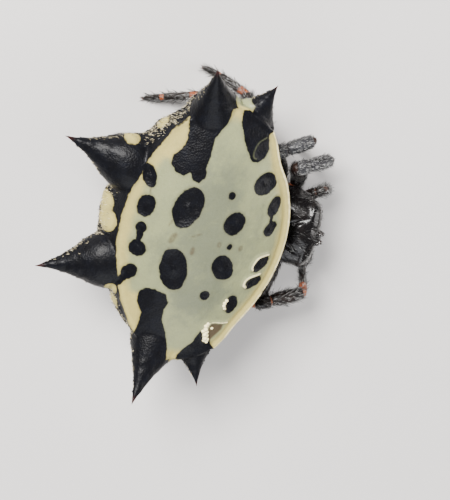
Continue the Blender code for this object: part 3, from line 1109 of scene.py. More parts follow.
@dataclass(frozen=True)
class Spine:
    """One spine of the shell.

    Args:
        root: Where it is rooted, inside the body.
        tip: Its tip.
        slope: How fast the thorn widens from its tip.
        flare: How much its root flares.
        widest: The widest that the root gets.
        sharp: The least half width, at the tip.
        flatness: Height over width.
        highest: The highest that the root gets.
    """

    root: Point
    tip: Point
    slope: float
    flare: float
    widest: float
    sharp: float = 0.012
    flatness: float = 0.82
    highest: float = 0.84

    def ends(self, way: int) -> tuple[np.ndarray, np.ndarray]:
        """Root and tip on one side."""
        return mirrored(self.root, way), mirrored(self.tip, way)

    def axis(self, way: int) -> tuple[np.ndarray, np.ndarray, float]:
        """The spine's line on one side.

        Args:
            way: The side.

        Returns:
            Its root, its direction and its length.
        """
        root, tip = self.ends(way)
        length = np.linalg.norm(tip - root)
        return root, (tip - root) / length, length

    def halves(self, back: np.ndarray) -> tuple[np.ndarray, np.ndarray]:
        """The spine's size along its length.

        Args:
            back: Distances back from the tip.

        Returns:
            Half width and half height there.
        """
        wide = np.maximum(self.sharp, self.slope * back + self.flare * back**2.6)
        wide = wide / (1.0 + (wide / self.widest) ** 5) ** 0.2
        return wide, np.minimum(self.highest, self.flatness * wide)

    def shape(self, way: int) -> Shape:
        """The spine on one side.

        Args:
            way: The side.

        Returns:
            A closed body.
        """
        root, tip = self.ends(way)
        shares = np.linspace(0.0, 1.0, 46) ** 0.8
        wide, high = self.halves(np.linalg.norm(tip - root) * (1.0 - shares))
        rings = [oval(root + (tip - root) * s, tip - root, w, h, 36) for s, w, h in zip(shares, wide, high)]
        return loft(np.array(rings))

    def along(self, way: int, points: np.ndarray) -> tuple[np.ndarray, np.ndarray, np.ndarray]:
        """How points lie against the spine.

        Args:
            way: The side.
            points: The points.

        Returns:
            Share of the way from root to tip, distance from the axis, and the way off the axis.
        """
        root, axis, length = self.axis(way)
        share = (points - root) @ axis / length
        off = points - root - np.outer(share * length, axis)
        return share, np.linalg.norm(off, axis=1), unit(off)

    def sharpened(self, way: int, points: np.ndarray) -> np.ndarray:
        """Draws a skin back to the spine's true taper and out to its tip.

        Args:
            way: The side.
            points: The skin's points.

        Returns:
            The points, moved.
        """
        root, axis, length = self.axis(way)
        share, far, off = self.along(way, points)
        wide, _ = self.halves(length * (1.0 - np.clip(share, 0, 1)))
        near = (share > 0.45) & (far < wide + 0.18)
        reach, start = share[near].max(), 0.6
        stretched = start + (share - start) * (1.0 - start) / (reach - start)
        share = np.clip(np.where(share > start, stretched, share), 0.0, 1.0)
        wide, high = self.halves(length * (1.0 - share))
        across = unit(np.cross(axis, [0.0, 0.0, 1.0]))
        flat, rise = off @ across, off @ np.cross(across, axis)
        true = 1.0 / np.sqrt(np.maximum((flat / wide) ** 2 + (rise / high) ** 2, 1e-9))
        drawn = root + np.outer(share * length, axis) + off * true[:, None]
        pull = (ease(share, 0.45, 0.62) * near)[:, None]
        return points + (drawn - points) * pull


@dataclass(frozen=True)
class Spot:
    """An oval sunken mark on the back.

    Args:
        side: Its middle to the left.
        ahead: Its middle ahead.
        long: Half its length.
        short: Half its width.
        turn: Degrees from the side way towards ahead.
        depth: How deep it is sunk.
    """

    side: float
    ahead: float
    long: float
    short: float
    turn: float = 0.0
    depth: float = 0.05

    def distance(self, side: np.ndarray, ahead: np.ndarray) -> np.ndarray:
        """How far places lie outside the mark.

        Args:
            side: How far to the left each place lies.
            ahead: How far ahead each place lies.

        Returns:
            The distances, less than zero within.
        """
        turn = math.radians(self.turn)
        x = (side - self.side) * math.cos(turn) + (ahead - self.ahead) * math.sin(turn)
        y = (ahead - self.ahead) * math.cos(turn) - (side - self.side) * math.sin(turn)
        reach = np.hypot(x / self.long, y / self.short)
        slope = np.maximum(np.hypot(x / self.long**2, y / self.short**2), 0.6 / self.long)
        return reach * (reach - 1.0) / slope


@dataclass(frozen=True)
class Patch:
    """A mark with its own outline.

    Args:
        outline: The places (side, ahead) round it.
    """

    outline: tuple[tuple[float, float], ...]

    def distance(self, side: np.ndarray, ahead: np.ndarray) -> np.ndarray:
        """How far places lie outside the mark.

        Args:
            side: How far to the left each place lies.
            ahead: How far ahead each place lies.

        Returns:
            The distances, less than zero within.
        """
        closed = self.outline + self.outline[:1]
        nearest = from_path(closed, side, ahead)
        inside = np.zeros(len(side), bool)
        for (ax, ay), (bx, by) in zip(closed, closed[1:]):
            if ay != by:
                crosses = (ay > ahead) != (by > ahead)
                inside ^= crosses & (side < ax + (bx - ax) * (ahead - ay) / (by - ay))
        return np.where(inside, -nearest, nearest)


@dataclass(frozen=True)
class Ridge:
    """A low pale ridge on the back.

    Args:
        line: The places (side, ahead) that it runs through.
        width: Its width.
        rise: Its height.
        tone: How pale it is.
    """

    line: tuple[tuple[float, float], ...]
    width: float = 0.07
    rise: float = 0.05
    tone: float = 1.0

    def bell(self, side: np.ndarray, ahead: np.ndarray) -> np.ndarray:
        """The ridge's own share at each place."""
        return hump(self.distance(side, ahead), self.width)

    def distance(self, side: np.ndarray, ahead: np.ndarray) -> np.ndarray:
        """How far places lie from the middle of the ridge."""
        return from_path(through(np.array(self.line), 6), side, ahead)


@dataclass
class Abdomen:
    """The abdomen: a hard plate above, walls, belly and six spines.

    Args:
        back_up: Height of the middle of the back above the floor.
        centre_ahead: The plate's centre ahead.
        dome: How the back rises and how fast it falls away lengthways and sideways.
        rim_rise: How far the rim stands over the back.
        plate: The plate's outline.
        girth: The outline of the walls at their lower edge.
        girth_up: Height of that edge behind, beside and before, from the back.
        belly: Share of the girth and the three heights, ring by ring.
        belly_ahead: The belly's middle ahead.
        narrowing: How much the belly narrows sideways.
        spines: The spines of the left side.
        spots: Black oval marks of the back.
        faint: Faint stains of the back.
        glows: Warm stretches of the back beside the rear margin.
        brown: A dark brown patch at the right, painted as the shadow beside the raised pale arcs.
        patches: Black marks with outlines of their own.
        ridges: Pale ridges, the first only a line.
        beads: Pale beads as side, ahead and radius.
        blotches: Cream marks of the walls as place and radius.
        voxel: The side of a voxel of the skin.
        seed: For its grains and hairs.
    """

    back_up: float = BACK_UP
    centre_ahead: float = 0.85
    dome: tuple[float, float, float] = (0.12, 0.137, 0.030)
    rim_rise: float = 0.05
    plate: Outline = Outline((
        (-90, 2.69), (-74, 2.75), (-58, 2.93), (-33, 3.57), (-21, 4.00), (-11, 4.32), (0, 4.40),
        (9, 4.30), (17, 4.06), (29, 3.42), (48, 3.00), (69, 2.78), (90, 2.71),
    ))
    girth: Outline = Outline((
        (-90, 3.20), (-74, 3.22), (-58, 3.30), (-33, 3.78), (-21, 4.02), (-11, 4.20), (0, 4.26),
        (9, 4.14), (17, 3.90), (29, 3.30), (48, 2.88), (69, 2.68), (90, 2.62),
    ))
    girth_up: tuple[float, float, float] = (-1.85, -1.45, -1.22)
    belly: tuple[tuple[float, float, float, float], ...] = (
        (0.95, -2.20, -1.78, -1.45), (0.83, -2.62, -2.02, -1.72), (0.68, -2.95, -2.28, -2.12),
        (0.52, -3.18, -2.62, -2.62), (0.37, -3.32, -3.00, -3.05), (0.26, -3.40, -3.32, -3.34),
        (0.20, -3.42, -3.42, -3.42),
    )
    belly_ahead: float = 0.40
    narrowing: float = 0.25
    spines: tuple[Spine, ...] = (
        Spine((1.48, -1.00, 3.20), (2.26, -4.07, 3.30), 0.26, 0.095, 1.00),
        Spine((3.55, 0.40, 3.40), (5.80, -0.35, 5.11), 0.27, 0.05, 1.00),
        Spine((3.75, 1.45, 3.55), (5.33, 1.89, 4.19), 0.30, 0.14, 1.00),
    )
    spots: tuple[Spot, ...] = (
        Spot(1.06, -0.05, 0.71, 0.43, 14, 0.075), Spot(-1.09, -0.01, 0.74, 0.43, 167, 0.075),
        Spot(0.78, 1.53, 0.40, 0.34, 11, 0.06), Spot(-0.78, 1.53, 0.46, 0.35, 151, 0.06),
        Spot(1.69, 1.22, 0.14, 0.12), Spot(-1.82, 1.19, 0.17, 0.15), Spot(1.69, -1.34, 0.38, 0.20, 162),
        Spot(0.73, -1.25, 0.39, 0.26, 10), Spot(0.0, -1.24, 0.17, 0.17), Spot(-0.72, -1.21, 0.28, 0.27),
        Spot(-0.34, -1.23, 0.30, 0.08), Spot(-1.62, -1.26, 0.31, 0.22, 18),
        Spot(-1.95, -1.42, 0.32, 0.13, 24), Spot(-2.25, -1.56, 0.28, 0.10, 20),
        Spot(2.14, 2.26, 0.41, 0.35, 49), Spot(-2.13, 2.20, 0.34, 0.23, 172),
        Spot(1.38, 2.80, 0.36, 0.21, 8), Spot(0.60, 2.85, 0.27, 0.21, 20),
        Spot(0.98, 2.80, 0.22, 0.05, 0), Spot(-0.65, 2.86, 0.35, 0.22, 41),
        Spot(-1.32, 2.78, 0.31, 0.20, 56), Spot(-0.01, 1.57, 0.11, 0.09, 0, 0.02),
    )
    faint: tuple[Spot, ...] = (
        Spot(-0.04, -0.27, 0.24, 0.12, 20), Spot(-0.32, 0.41, 0.18, 0.10),
        Spot(1.33, -1.24, 0.28, 0.05, 170), Spot(0.44, -0.44, 0.16, 0.06, 20),
        Spot(-0.52, -0.28, 0.16, 0.06, 160), Spot(0.22, 0.40, 0.22, 0.06, 60),
        Spot(0.03, 1.20, 0.13, 0.10), Spot(-0.05, 1.96, 0.13, 0.10),
    )
    glows: tuple[Spot, ...] = (Spot(3.05, -0.85, 0.75, 0.35, -25), Spot(-3.0, -0.95, 0.8, 0.35, 25))
    brown: Patch = Patch(((-2.86, 1.70), (-2.86, 2.16), (-3.1, 2.16), (-3.75, 1.72), (-3.6, 1.66)))
    patches: tuple[Patch, ...] = (
        Patch((
            (3.43, -0.52), (3.12, -0.51), (2.84, -0.61), (2.55, -0.82), (2.29, -0.83), (2.06, -0.63),
            (2.01, -0.38), (2.19, -0.21), (1.97, -0.10), (1.89, 0.11), (2.11, 0.25), (2.52, 0.22),
            (3.33, 0.30), (3.94, 0.59), (4.31, 0.61), (6.5, 0.9), (6.5, -1.4), (4.4, -0.75),
            (3.95, -0.60),
        )),
        Patch((
            (-2.90, -0.61), (-2.51, -0.80), (-2.21, -0.84), (-1.99, -0.68), (-1.92, -0.38),
            (-2.01, -0.05), (-2.31, 0.12), (-2.67, 0.05), (-3.05, 0.12), (-3.52, 0.37), (-4.11, 0.53),
            (-6.5, 0.8), (-6.5, -1.4), (-4.44, -0.55), (-3.95, -0.57), (-3.41, -0.58),
        )),
        Patch((
            (4.68, 1.00), (4.32, 0.98), (3.90, 1.04), (3.30, 1.31), (2.84, 1.62), (2.80, 1.84),
            (2.95, 2.02), (3.23, 2.12), (3.70, 2.04), (4.1, 2.3), (6.5, 2.9), (6.5, 0.9),
        )),
        Patch((
            (-4.25, 0.91), (-4.06, 1.02), (-3.84, 1.13), (-3.65, 1.28), (-3.40, 1.34), (-3.19, 1.42),
            (-3.20, 1.62), (-3.38, 1.78), (-3.55, 1.86), (-3.9, 2.1), (-6.5, 2.9), (-6.5, 0.7),
        )),
    )
    ridges: tuple[Ridge, ...] = (
        Ridge(((3.62, 1.95), (3.45, 1.72), (3.20, 1.62), (2.99, 1.63), (2.93, 1.75)), 0.06, 0.04, 0.0),
        Ridge(((-0.31, 3.04), (-0.41, 2.69), (-0.69, 2.55), (-0.84, 2.60)), 0.06, 0.07, 1.0),
        Ridge(((-0.99, 2.91), (-1.13, 2.50), (-1.35, 2.41), (-1.47, 2.52)), 0.06, 0.07, 1.0),
        Ridge(((-1.96, 2.00), (-2.10, 1.93), (-2.21, 1.98)), 0.07, 0.06, 1.0),
        Ridge(((-2.89, 1.61), (-3.10, 1.56), (-3.38, 1.62), (-3.55, 1.72)), 0.10, 0.06, 1.0),
        Ridge(((-2.86, 1.64), (-2.80, 1.83), (-2.83, 2.05), (-2.80, 2.27)), 0.045, 0.05, 0.85),
    )
    beads: tuple[tuple[float, float, float], ...] = (
        (-2.86, 1.60, 0.055), (-2.96, 1.55, 0.065), (-3.06, 1.58, 0.075), (-3.15, 1.52, 0.065),
        (-3.18, 1.63, 0.080), (-3.29, 1.57, 0.075), (-3.32, 1.69, 0.070), (-3.42, 1.62, 0.080),
        (-3.46, 1.74, 0.070), (-3.54, 1.66, 0.060), (-3.58, 1.75, 0.055), (-3.08, 1.80, 0.050),
        (-1.96, 2.00, 0.060), (-2.05, 1.94, 0.060), (-2.14, 1.92, 0.055), (-2.22, 1.98, 0.050),
        (-2.30, 2.06, 0.040),
    )
    blotches: tuple[tuple[Point, float], ...] = (
        ((0.22, -2.26, 3.10), 0.38), ((-0.26, -2.16, 3.36), 0.38), ((4.48, 1.04, 3.98), 0.36),
        ((-4.34, 0.92, 4.00), 0.36), ((2.70, -2.02, 3.45), 0.30), ((3.29, -1.20, 3.40), 0.24),
        ((3.02, -1.62, 3.42), 0.13), ((-2.48, -1.62, 3.80), 0.24), ((-2.95, -1.35, 3.40), 0.28),
        ((2.2, 2.75, 3.45), 0.30), ((-2.2, 2.75, 3.45), 0.30), ((0.0, 3.35, 3.40), 0.30),
        ((1.2, 3.2, 3.1), 0.26), ((-1.2, 3.2, 3.1), 0.26),
    )
    voxel: float = 0.048
    seed: int = 11

    def height(self, side: np.ndarray, ahead: np.ndarray) -> np.ndarray:
        """Height of the back above the floor."""
        rise, fall, across = self.dome
        return self.back_up + rise - fall * (ahead - self.centre_ahead) ** 2 - across * side**2

    def back_ring(self, turns: np.ndarray, share: float, lift: float) -> np.ndarray:
        """A ring on the back at a share of the plate's outline.

        Args:
            turns: Angles round the centre, from the left towards the head.
            share: The share of the outline's radius.
            lift: How far it lies over the back.

        Returns:
            The ring's points.
        """
        reach = share * self.plate.radius(np.degrees(turns))
        side, ahead = reach * np.cos(turns), self.centre_ahead + reach * np.sin(turns)
        return place(side, ahead, self.height(side, ahead) + lift)

    def girth_ring(self, turns: np.ndarray, share: float, heights: Sequence[float]) -> np.ndarray:
        """A ring at a share of the girth, drawn in towards the middle of the belly.

        Args:
            turns: Angles round the centre, from the left towards the head.
            share: The share of the outline's radius.
            heights: Its height behind, beside and before, from the back.

        Returns:
            The ring's points.
        """
        centre = self.belly_ahead + (self.centre_ahead - self.belly_ahead) * share
        reach = share * self.girth.radius(np.degrees(turns))
        narrow = 1.0 - self.narrowing * (1.0 - share) * np.cos(turns) ** 2
        behind, beside, before = heights
        end = np.where(np.sin(turns) > 0, before, behind)
        up = self.back_up + beside + (end - beside) * np.sin(turns) ** 2
        return place(reach * narrow * np.cos(turns), centre + reach * np.sin(turns), up)

    def body(self) -> Shape:
        """The abdomen without its spines.

        Returns:
            One closed body.
        """
        turns = TURN * np.arange(180) / 180
        top = [self.back_ring(turns, share, 0.0) for share in np.linspace(0.02, 0.95, 22)]
        top.append(self.back_ring(turns, 0.975, 0.5 * self.rim_rise))
        rim = self.back_ring(turns, 1.0, self.rim_rise)
        girth = self.girth_ring(turns, 1.0, self.girth_up)
        outward = np.stack([np.cos(turns), -np.sin(turns), np.zeros_like(turns)], -1)
        keys = [rim]
        keys += [rim + (girth - rim) * s + outward * 0.08 * math.sin(math.pi * s) for s in (0.3, 0.65)]
        keys.append(girth)
        keys += [self.girth_ring(turns, share, heights) for share, *heights in self.belly]
        return loft(np.concatenate([np.array(top), through(np.array(keys), 4)]))

    def skin(self) -> Shape:
        """Body and spines in one smooth skin.

        Returns:
            The skin.
        """
        skin = voxel_skin([self.body()] + [s.shape(way) for s in self.spines for way in WAYS], self.voxel)
        skin.smoothed(3)
        bend = mean_beside(skin.links(), skin.points) - skin.points
        hollow = np.einsum("ij,ij->i", bend, skin.normals())
        crease = np.clip(skin.spread(np.clip(hollow / 0.003, 0.0, 1.0), 6) * 2.5, 0.0, 1.0)
        skin.smoothed(26, crease)
        for spine in self.spines:
            for way in WAYS:
                skin.points = spine.sharpened(way, skin.points)
        return skin

    def measured(self, skin: Shape) -> dict[str, np.ndarray]:
        """What the finish and the relief need to know at each point of the skin.

        Args:
            skin: The smooth skin.

        Returns:
            Values by name, distances in millimetres.
        """
        side, ahead, up = skin.points[:, 0], MID_AHEAD - skin.points[:, 1], skin.points[:, 2]
        turns = np.arctan2(ahead - self.centre_ahead, side)
        edge = np.hypot(side, ahead - self.centre_ahead) - self.plate.radius(np.degrees(turns))
        drop = self.height(side, ahead) + self.rim_rise - up
        outer = np.maximum(edge, drop - 0.12)
        tip, thorn = np.zeros(len(side)), np.zeros(len(side))
        lie = np.tile([0.0, 1.0, 0.0], (len(side), 1))
        for spine, way in ((spine, way) for spine in self.spines for way in WAYS):
            share, far, _ = spine.along(way, skin.points)
            _, axis, length = spine.axis(way)
            wide, _ = spine.halves(length * (1.0 - np.clip(share, 0, 1)))
            on = ease(wide + 0.12 - far, 0.0, 0.08) * ease(share, 0.40, 0.55)
            thorn = np.maximum(thorn, on)
            tip = np.maximum(tip, on * ease(share, 0.88, 0.985))
            lie = np.where(on[:, None] > 0.3, axis, lie)
        return {
            "side": side, "ahead": ahead, "turns": turns, "edge": edge, "drop": drop,
            "outer": outer, "tip": tip, "thorn": thorn, "lie": lie,
        }

    def marked(self, at: dict[str, np.ndarray], points: np.ndarray) -> dict[str, np.ndarray]:
        """The marks at each point of the skin.

        Args:
            at: What measured() gave.
            points: The skin's points.

        Returns:
            Values by name: ink is how far the point lies outside the nearest black.
        """
        side, ahead, outer = at["side"], at["ahead"], at["outer"]
        above = 1.0 - ease(at["drop"], 0.12, 0.22)
        ink = np.min([mark.distance(side, ahead) for mark in self.spots + self.patches], axis=0)
        ink = np.where(at["drop"] > 0.35, FAR, ink)
        ink = np.minimum(ink, 0.012 - outer)
        cream = np.full(len(side), FAR)
        for centre, radius in self.blotches:
            away = np.linalg.norm((points - place(*centre)) * (1, 1, 0.8), axis=1)
            cream = np.minimum(cream, away - radius)
        cream = cream + 0.08 * ripple(points, 2.6, 5.0)
        cream = np.maximum(cream, 0.5 * (at["thorn"] - 0.55))
        ink = np.maximum(ink, np.where(outer > 0.0, -cream, -FAR))
        ridge = np.max([bar.bell(side, ahead) * bar.tone for bar in self.ridges], axis=0) * above
        front = ease(ahead - self.centre_ahead, 0.5, 1.3)
        rim = hump(at["edge"] + 0.005, 0.034) * (0.10 + 0.90 * front) * above
        walls = (cream < 0.1) * (outer > 0.0) * (1.0 - ease(ahead, 0.0, 0.8))
        warm = 0.9 * hump(at["edge"] + 0.10, 0.32) * above + 0.9 * walls
        glow = np.max([1.0 - ease(spot.distance(side, ahead), -0.2, 0.3) for spot in self.glows], axis=0)
        warm = warm + glow * above
        faint = [0.9 * (1.0 - ease(spot.distance(side, ahead), -0.08, 0.07)) for spot in self.faint]
        stain_and_shade = np.max(faint, axis=0)
        # Painted shadow: the brown patch darkens the plate beside the raised pale arcs at the right.
        stain_and_shade = np.maximum(stain_and_shade, 1.3 * (1.0 - ease(self.brown.distance(side, ahead), -0.08, 0.08)))
        # Painted shade: a dark band in the groove just inside the front rim.
        shade = hump(at["edge"] + 0.13, 0.07) * front * 0.45
        stain_and_shade = np.maximum(stain_and_shade, shade) * above
        ovals = [(spot.distance(side, ahead), spot.depth) for spot in self.spots]
        pit = np.max([hump(np.maximum(away, -0.3) + 0.3, 0.26) * depth for away, depth in ovals], axis=0)
        lip = np.max([hump(away - 0.05, 0.06) * depth for away, depth in ovals], axis=0)
        return {
            "ink": np.maximum(ink, np.where(ridge > 0.45, 0.12 * (ridge - 0.3), -FAR)),
            "warm": np.clip(warm, 0, 1),
            "rim": np.clip(rim + np.clip(1.2 * ridge - 0.3, 0, 1), 0, 1.2),
            "trace": np.where(above > 0.5, self.ridges[0].distance(side, ahead), FAR),
            "core": 1.0 - ease(at["edge"], -2.6, -0.7),
            "stain_and_shade": stain_and_shade, "pit": pit * above, "lip": lip * above, "cream": cream, "above": above,
        }

    def relief(self, skin: Shape, at: dict[str, np.ndarray], marks: dict[str, np.ndarray]) -> None:
        """Raises the rim, sinks the marks and folds the walls.

        Args:
            skin: The abdomen's skin.
            at: What measured() gave.
            marks: What marked() gave.
        """
        side, ahead, edge, above = at["side"], at["ahead"], at["edge"], marks["above"]
        points = skin.points
        rise = -marks["pit"] + 0.22 * marks["lip"]
        rise += np.max([bar.bell(side, ahead) * bar.rise for bar in self.ridges], axis=0) * above
        front = ease(ahead - self.centre_ahead, 0.5, 1.3)
        bare = above * ease(marks["ink"], -0.12, 0.04)
        rise += bare * hump(edge + 0.012, 0.040) * (0.01 + 0.06 * front)
        rise -= bare * hump(edge + 0.15, 0.08) * (0.008 + 0.027 * front)
        rise += above * (0.016 * ripple(points, 1.3, 3.0) + 0.006 * ripple(points, 4.5, 8.0))
        lungs = np.hypot((np.abs(side) - 0.62) / 0.42, (ahead - 1.20) / 0.26)
        rise += 0.045 * (1.0 - ease(lungs, 0.75, 1.1)) * (points[:, 2] < 1.9)
        fold = hump(ahead - 0.98 + 0.12 * np.cos(1.3 * side), 0.045) * (np.abs(side) < 1.3)
        rise -= 0.04 * fold * (points[:, 2] < 1.9)
        under = (1.0 - above) * (1.0 - at["thorn"])
        folds = np.sin(30.0 * at["turns"] + 5.0 * ripple(points, 0.8, 21.0))
        rise += under * (0.028 * folds * ease(at["drop"], 0.3, 0.8) + 0.035 * ripple(points, 2.4, 13.0))
        rise += under * 0.010 * ripple(points, 7.0, 17.0)
        rise += at["thorn"] * (1.0 - ease(at["tip"], 0.0, 0.4)) * 0.018 * ripple(points, 5.0, 19.0)
        swell = hump(np.minimum(marks["cream"], 0.0) + 0.2, 0.15) * (marks["cream"] < 0) * (at["outer"] > 0)
        rise += 0.05 * swell
        skin.points = points + skin.normals() * rise[:, None]

    def unwrap(self, skin: Shape) -> np.ndarray:
        """A flat chart of the skin, its upper side on the left half and its lower on the right.

        Args:
            skin: The abdomen's skin.

        Returns:
            Two numbers for each point.
        """
        below = skin.normals()[:, 2] < 0
        u = 0.25 + skin.points[:, 0] / 26.0 + 0.5 * below
        return np.stack([u, 0.5 + skin.points[:, 1] / 13.0], 1)

    def build(self) -> None:
        """Makes the abdomen's pieces."""
        skin = self.skin()
        at = self.measured(skin)
        marks = self.marked(at, skin.points)
        self.relief(skin, at, marks)
        skin.values = {name: marks[name] for name in ("ink", "warm", "rim", "stain_and_shade", "trace", "core")}
        skin.values["tip"] = at["tip"]
        skin.piece("abdomen_skin", Finish.SHELL.look, "shell", "abdomen")
        self.coat(skin, at, marks)
        self.beading(skin, at, marks)
        self.epigyne(skin).piece("epigyne", Finish.SPINNERET.look, "black_cuticle", "abdomen")

    def epigyne(self, skin: Shape) -> Shape:
        """The raised plate and short tongue on the belly, ahead of the spinnerets.

        Args:
            skin: The abdomen's skin.

        Returns:
            One closed shape.
        """
        middle = 1.24
        aside = np.hypot(skin.points[:, 0], MID_AHEAD - skin.points[:, 1] - middle)
        floor = float(skin.points[int(np.argmin(aside + FAR * (skin.points[:, 2] > 2.6))), 2])
        turns = TURN * np.arange(32) / 32
        rings = []
        profile = ((0.6, -0.08), (1.0, -0.02), (0.98, 0.05), (0.82, 0.085), (0.5, 0.075), (0.1, 0.06))
        for share, drop in profile:
            ahead = middle + 0.20 * share * np.sin(turns)
            rings.append(place(0.30 * share * np.cos(turns), ahead, floor - drop))
        tongue = place(0.0, np.array([1.30, 1.20, 1.06, 0.98]), floor - np.array([0.04, 0.12, 0.14, 0.13]))
        path = through(tongue, 4)
        wide = np.interp(np.linspace(0, 1, len(path)), (0, 0.5, 0.9, 1), (0.10, 0.085, 0.06, 0.02))
        return Shape.joined([loft(np.array(rings)), loft(tube(path, wide, 0.55 * wide, 16))])

    def beading(self, skin: Shape, at: dict[str, np.ndarray], marks: dict[str, np.ndarray]) -> None:
        """Sets the pale beads beside the front marks of the right side.

        Args:
            skin: The abdomen's skin.
            at: What measured() gave.
            marks: What marked() gave.
        """
        draw = np.random.default_rng(self.seed + 1)
        nearest = []
        for side, ahead, _ in self.beads:
            far = np.hypot(at["side"] - side, at["ahead"] - ahead) + FAR * (marks["above"] < 0.5)
            nearest.append(int(np.argmin(far)))
        none = np.zeros(len(nearest))
        values = {name: none for name in skin.values}
        values.update(ink=none + FAR, rim=none + 1.2, trace=none + FAR)
        lie = unit(np.cross(skin.normals()[nearest], [0.3, 1.0, 0.0]))
        roots = Roots(skin.points[nearest], skin.normals()[nearest], lie, self.unwrap(skin)[nearest], values)
        radii = np.array([bead[2] for bead in self.beads])
        grown = Grain((1.0, 1.0), 0.75, 12).grown(roots, draw, radii)
        grown.piece("abdomen_beads", Finish.SHELL.look, "shell", "abdomen")

    def coat(self, skin: Shape, at: dict[str, np.ndarray], marks: dict[str, np.ndarray]) -> None:
        """Grows grains and hairs on walls and spines.

        Args:
            skin: The abdomen's skin.
            at: What measured() gave.
            marks: What marked() gave.
        """
        draw = np.random.default_rng(self.seed)
        chart = self.unwrap(skin)
        dark = 1.0 - ease(skin.values["ink"], -0.05, 0.02)
        walls = (1.0 - marks["above"]) * (0.35 + at["thorn"] * (1.0 - at["tip"]))
        rear = ease(-(at["ahead"] - self.centre_ahead), 0.4, 1.8)
        # The margin where glints show: the rear margin of the walls, and steep slopes of walls and spines
        # that face back towards the key lamp. Grains crowd there, and the gold hairs on it carry painted
        # glints.
        glint_margin = hump(at["drop"] - 1.45, 0.40) * rear * (1.0 - marks["above"]) * (1.0 - at["thorn"])
        normals = skin.normals()
        brink = hump(normals[:, 2] - 0.05, 0.30) * ease(normals[:, 1], -0.1, 0.4)
        glint_margin += 0.45 * at["thorn"] * (1.0 - at["tip"]) * brink + 0.6 * (1.0 - marks["above"]) * rear * brink
        share = np.clip(walls * 0.6 + glint_margin * 2.0, 0, 3) * (0.3 + 0.7 * dark)
        grains = scatter(skin, 4200, share, at["lie"], chart, draw)
        grown = Grain((0.018, 0.040)).grown(grains, draw)
        grown.piece("abdomen_grains", Finish.SHELL.look, "shell", "abdomen")
        rows = scatter(skin, 3600, np.clip(walls, 0, 1) * (0.4 + 0.6 * dark), at["lie"], chart, draw)
        grown = Hair((0.07, 0.19), 0.012, 42, 20, 0.18).grown(rows, draw)
        grown.piece("abdomen_hairs", Finish.HAIR.look, "shell", "abdomen")
        # Pale gold hairs on that margin: real hairs, their gold tone a painted glint of light.
        glint_roots = scatter(skin, 3200, glint_margin, at["lie"], chart, draw)
        grown = Hair((0.04, 0.12), 0.013, 55, 25, 0.75).grown(glint_roots, draw)
        grown.piece("abdomen_margin_glint_hairs", Finish.GOLD_GLINT.look, "shell", "abdomen")


# Head and thorax.


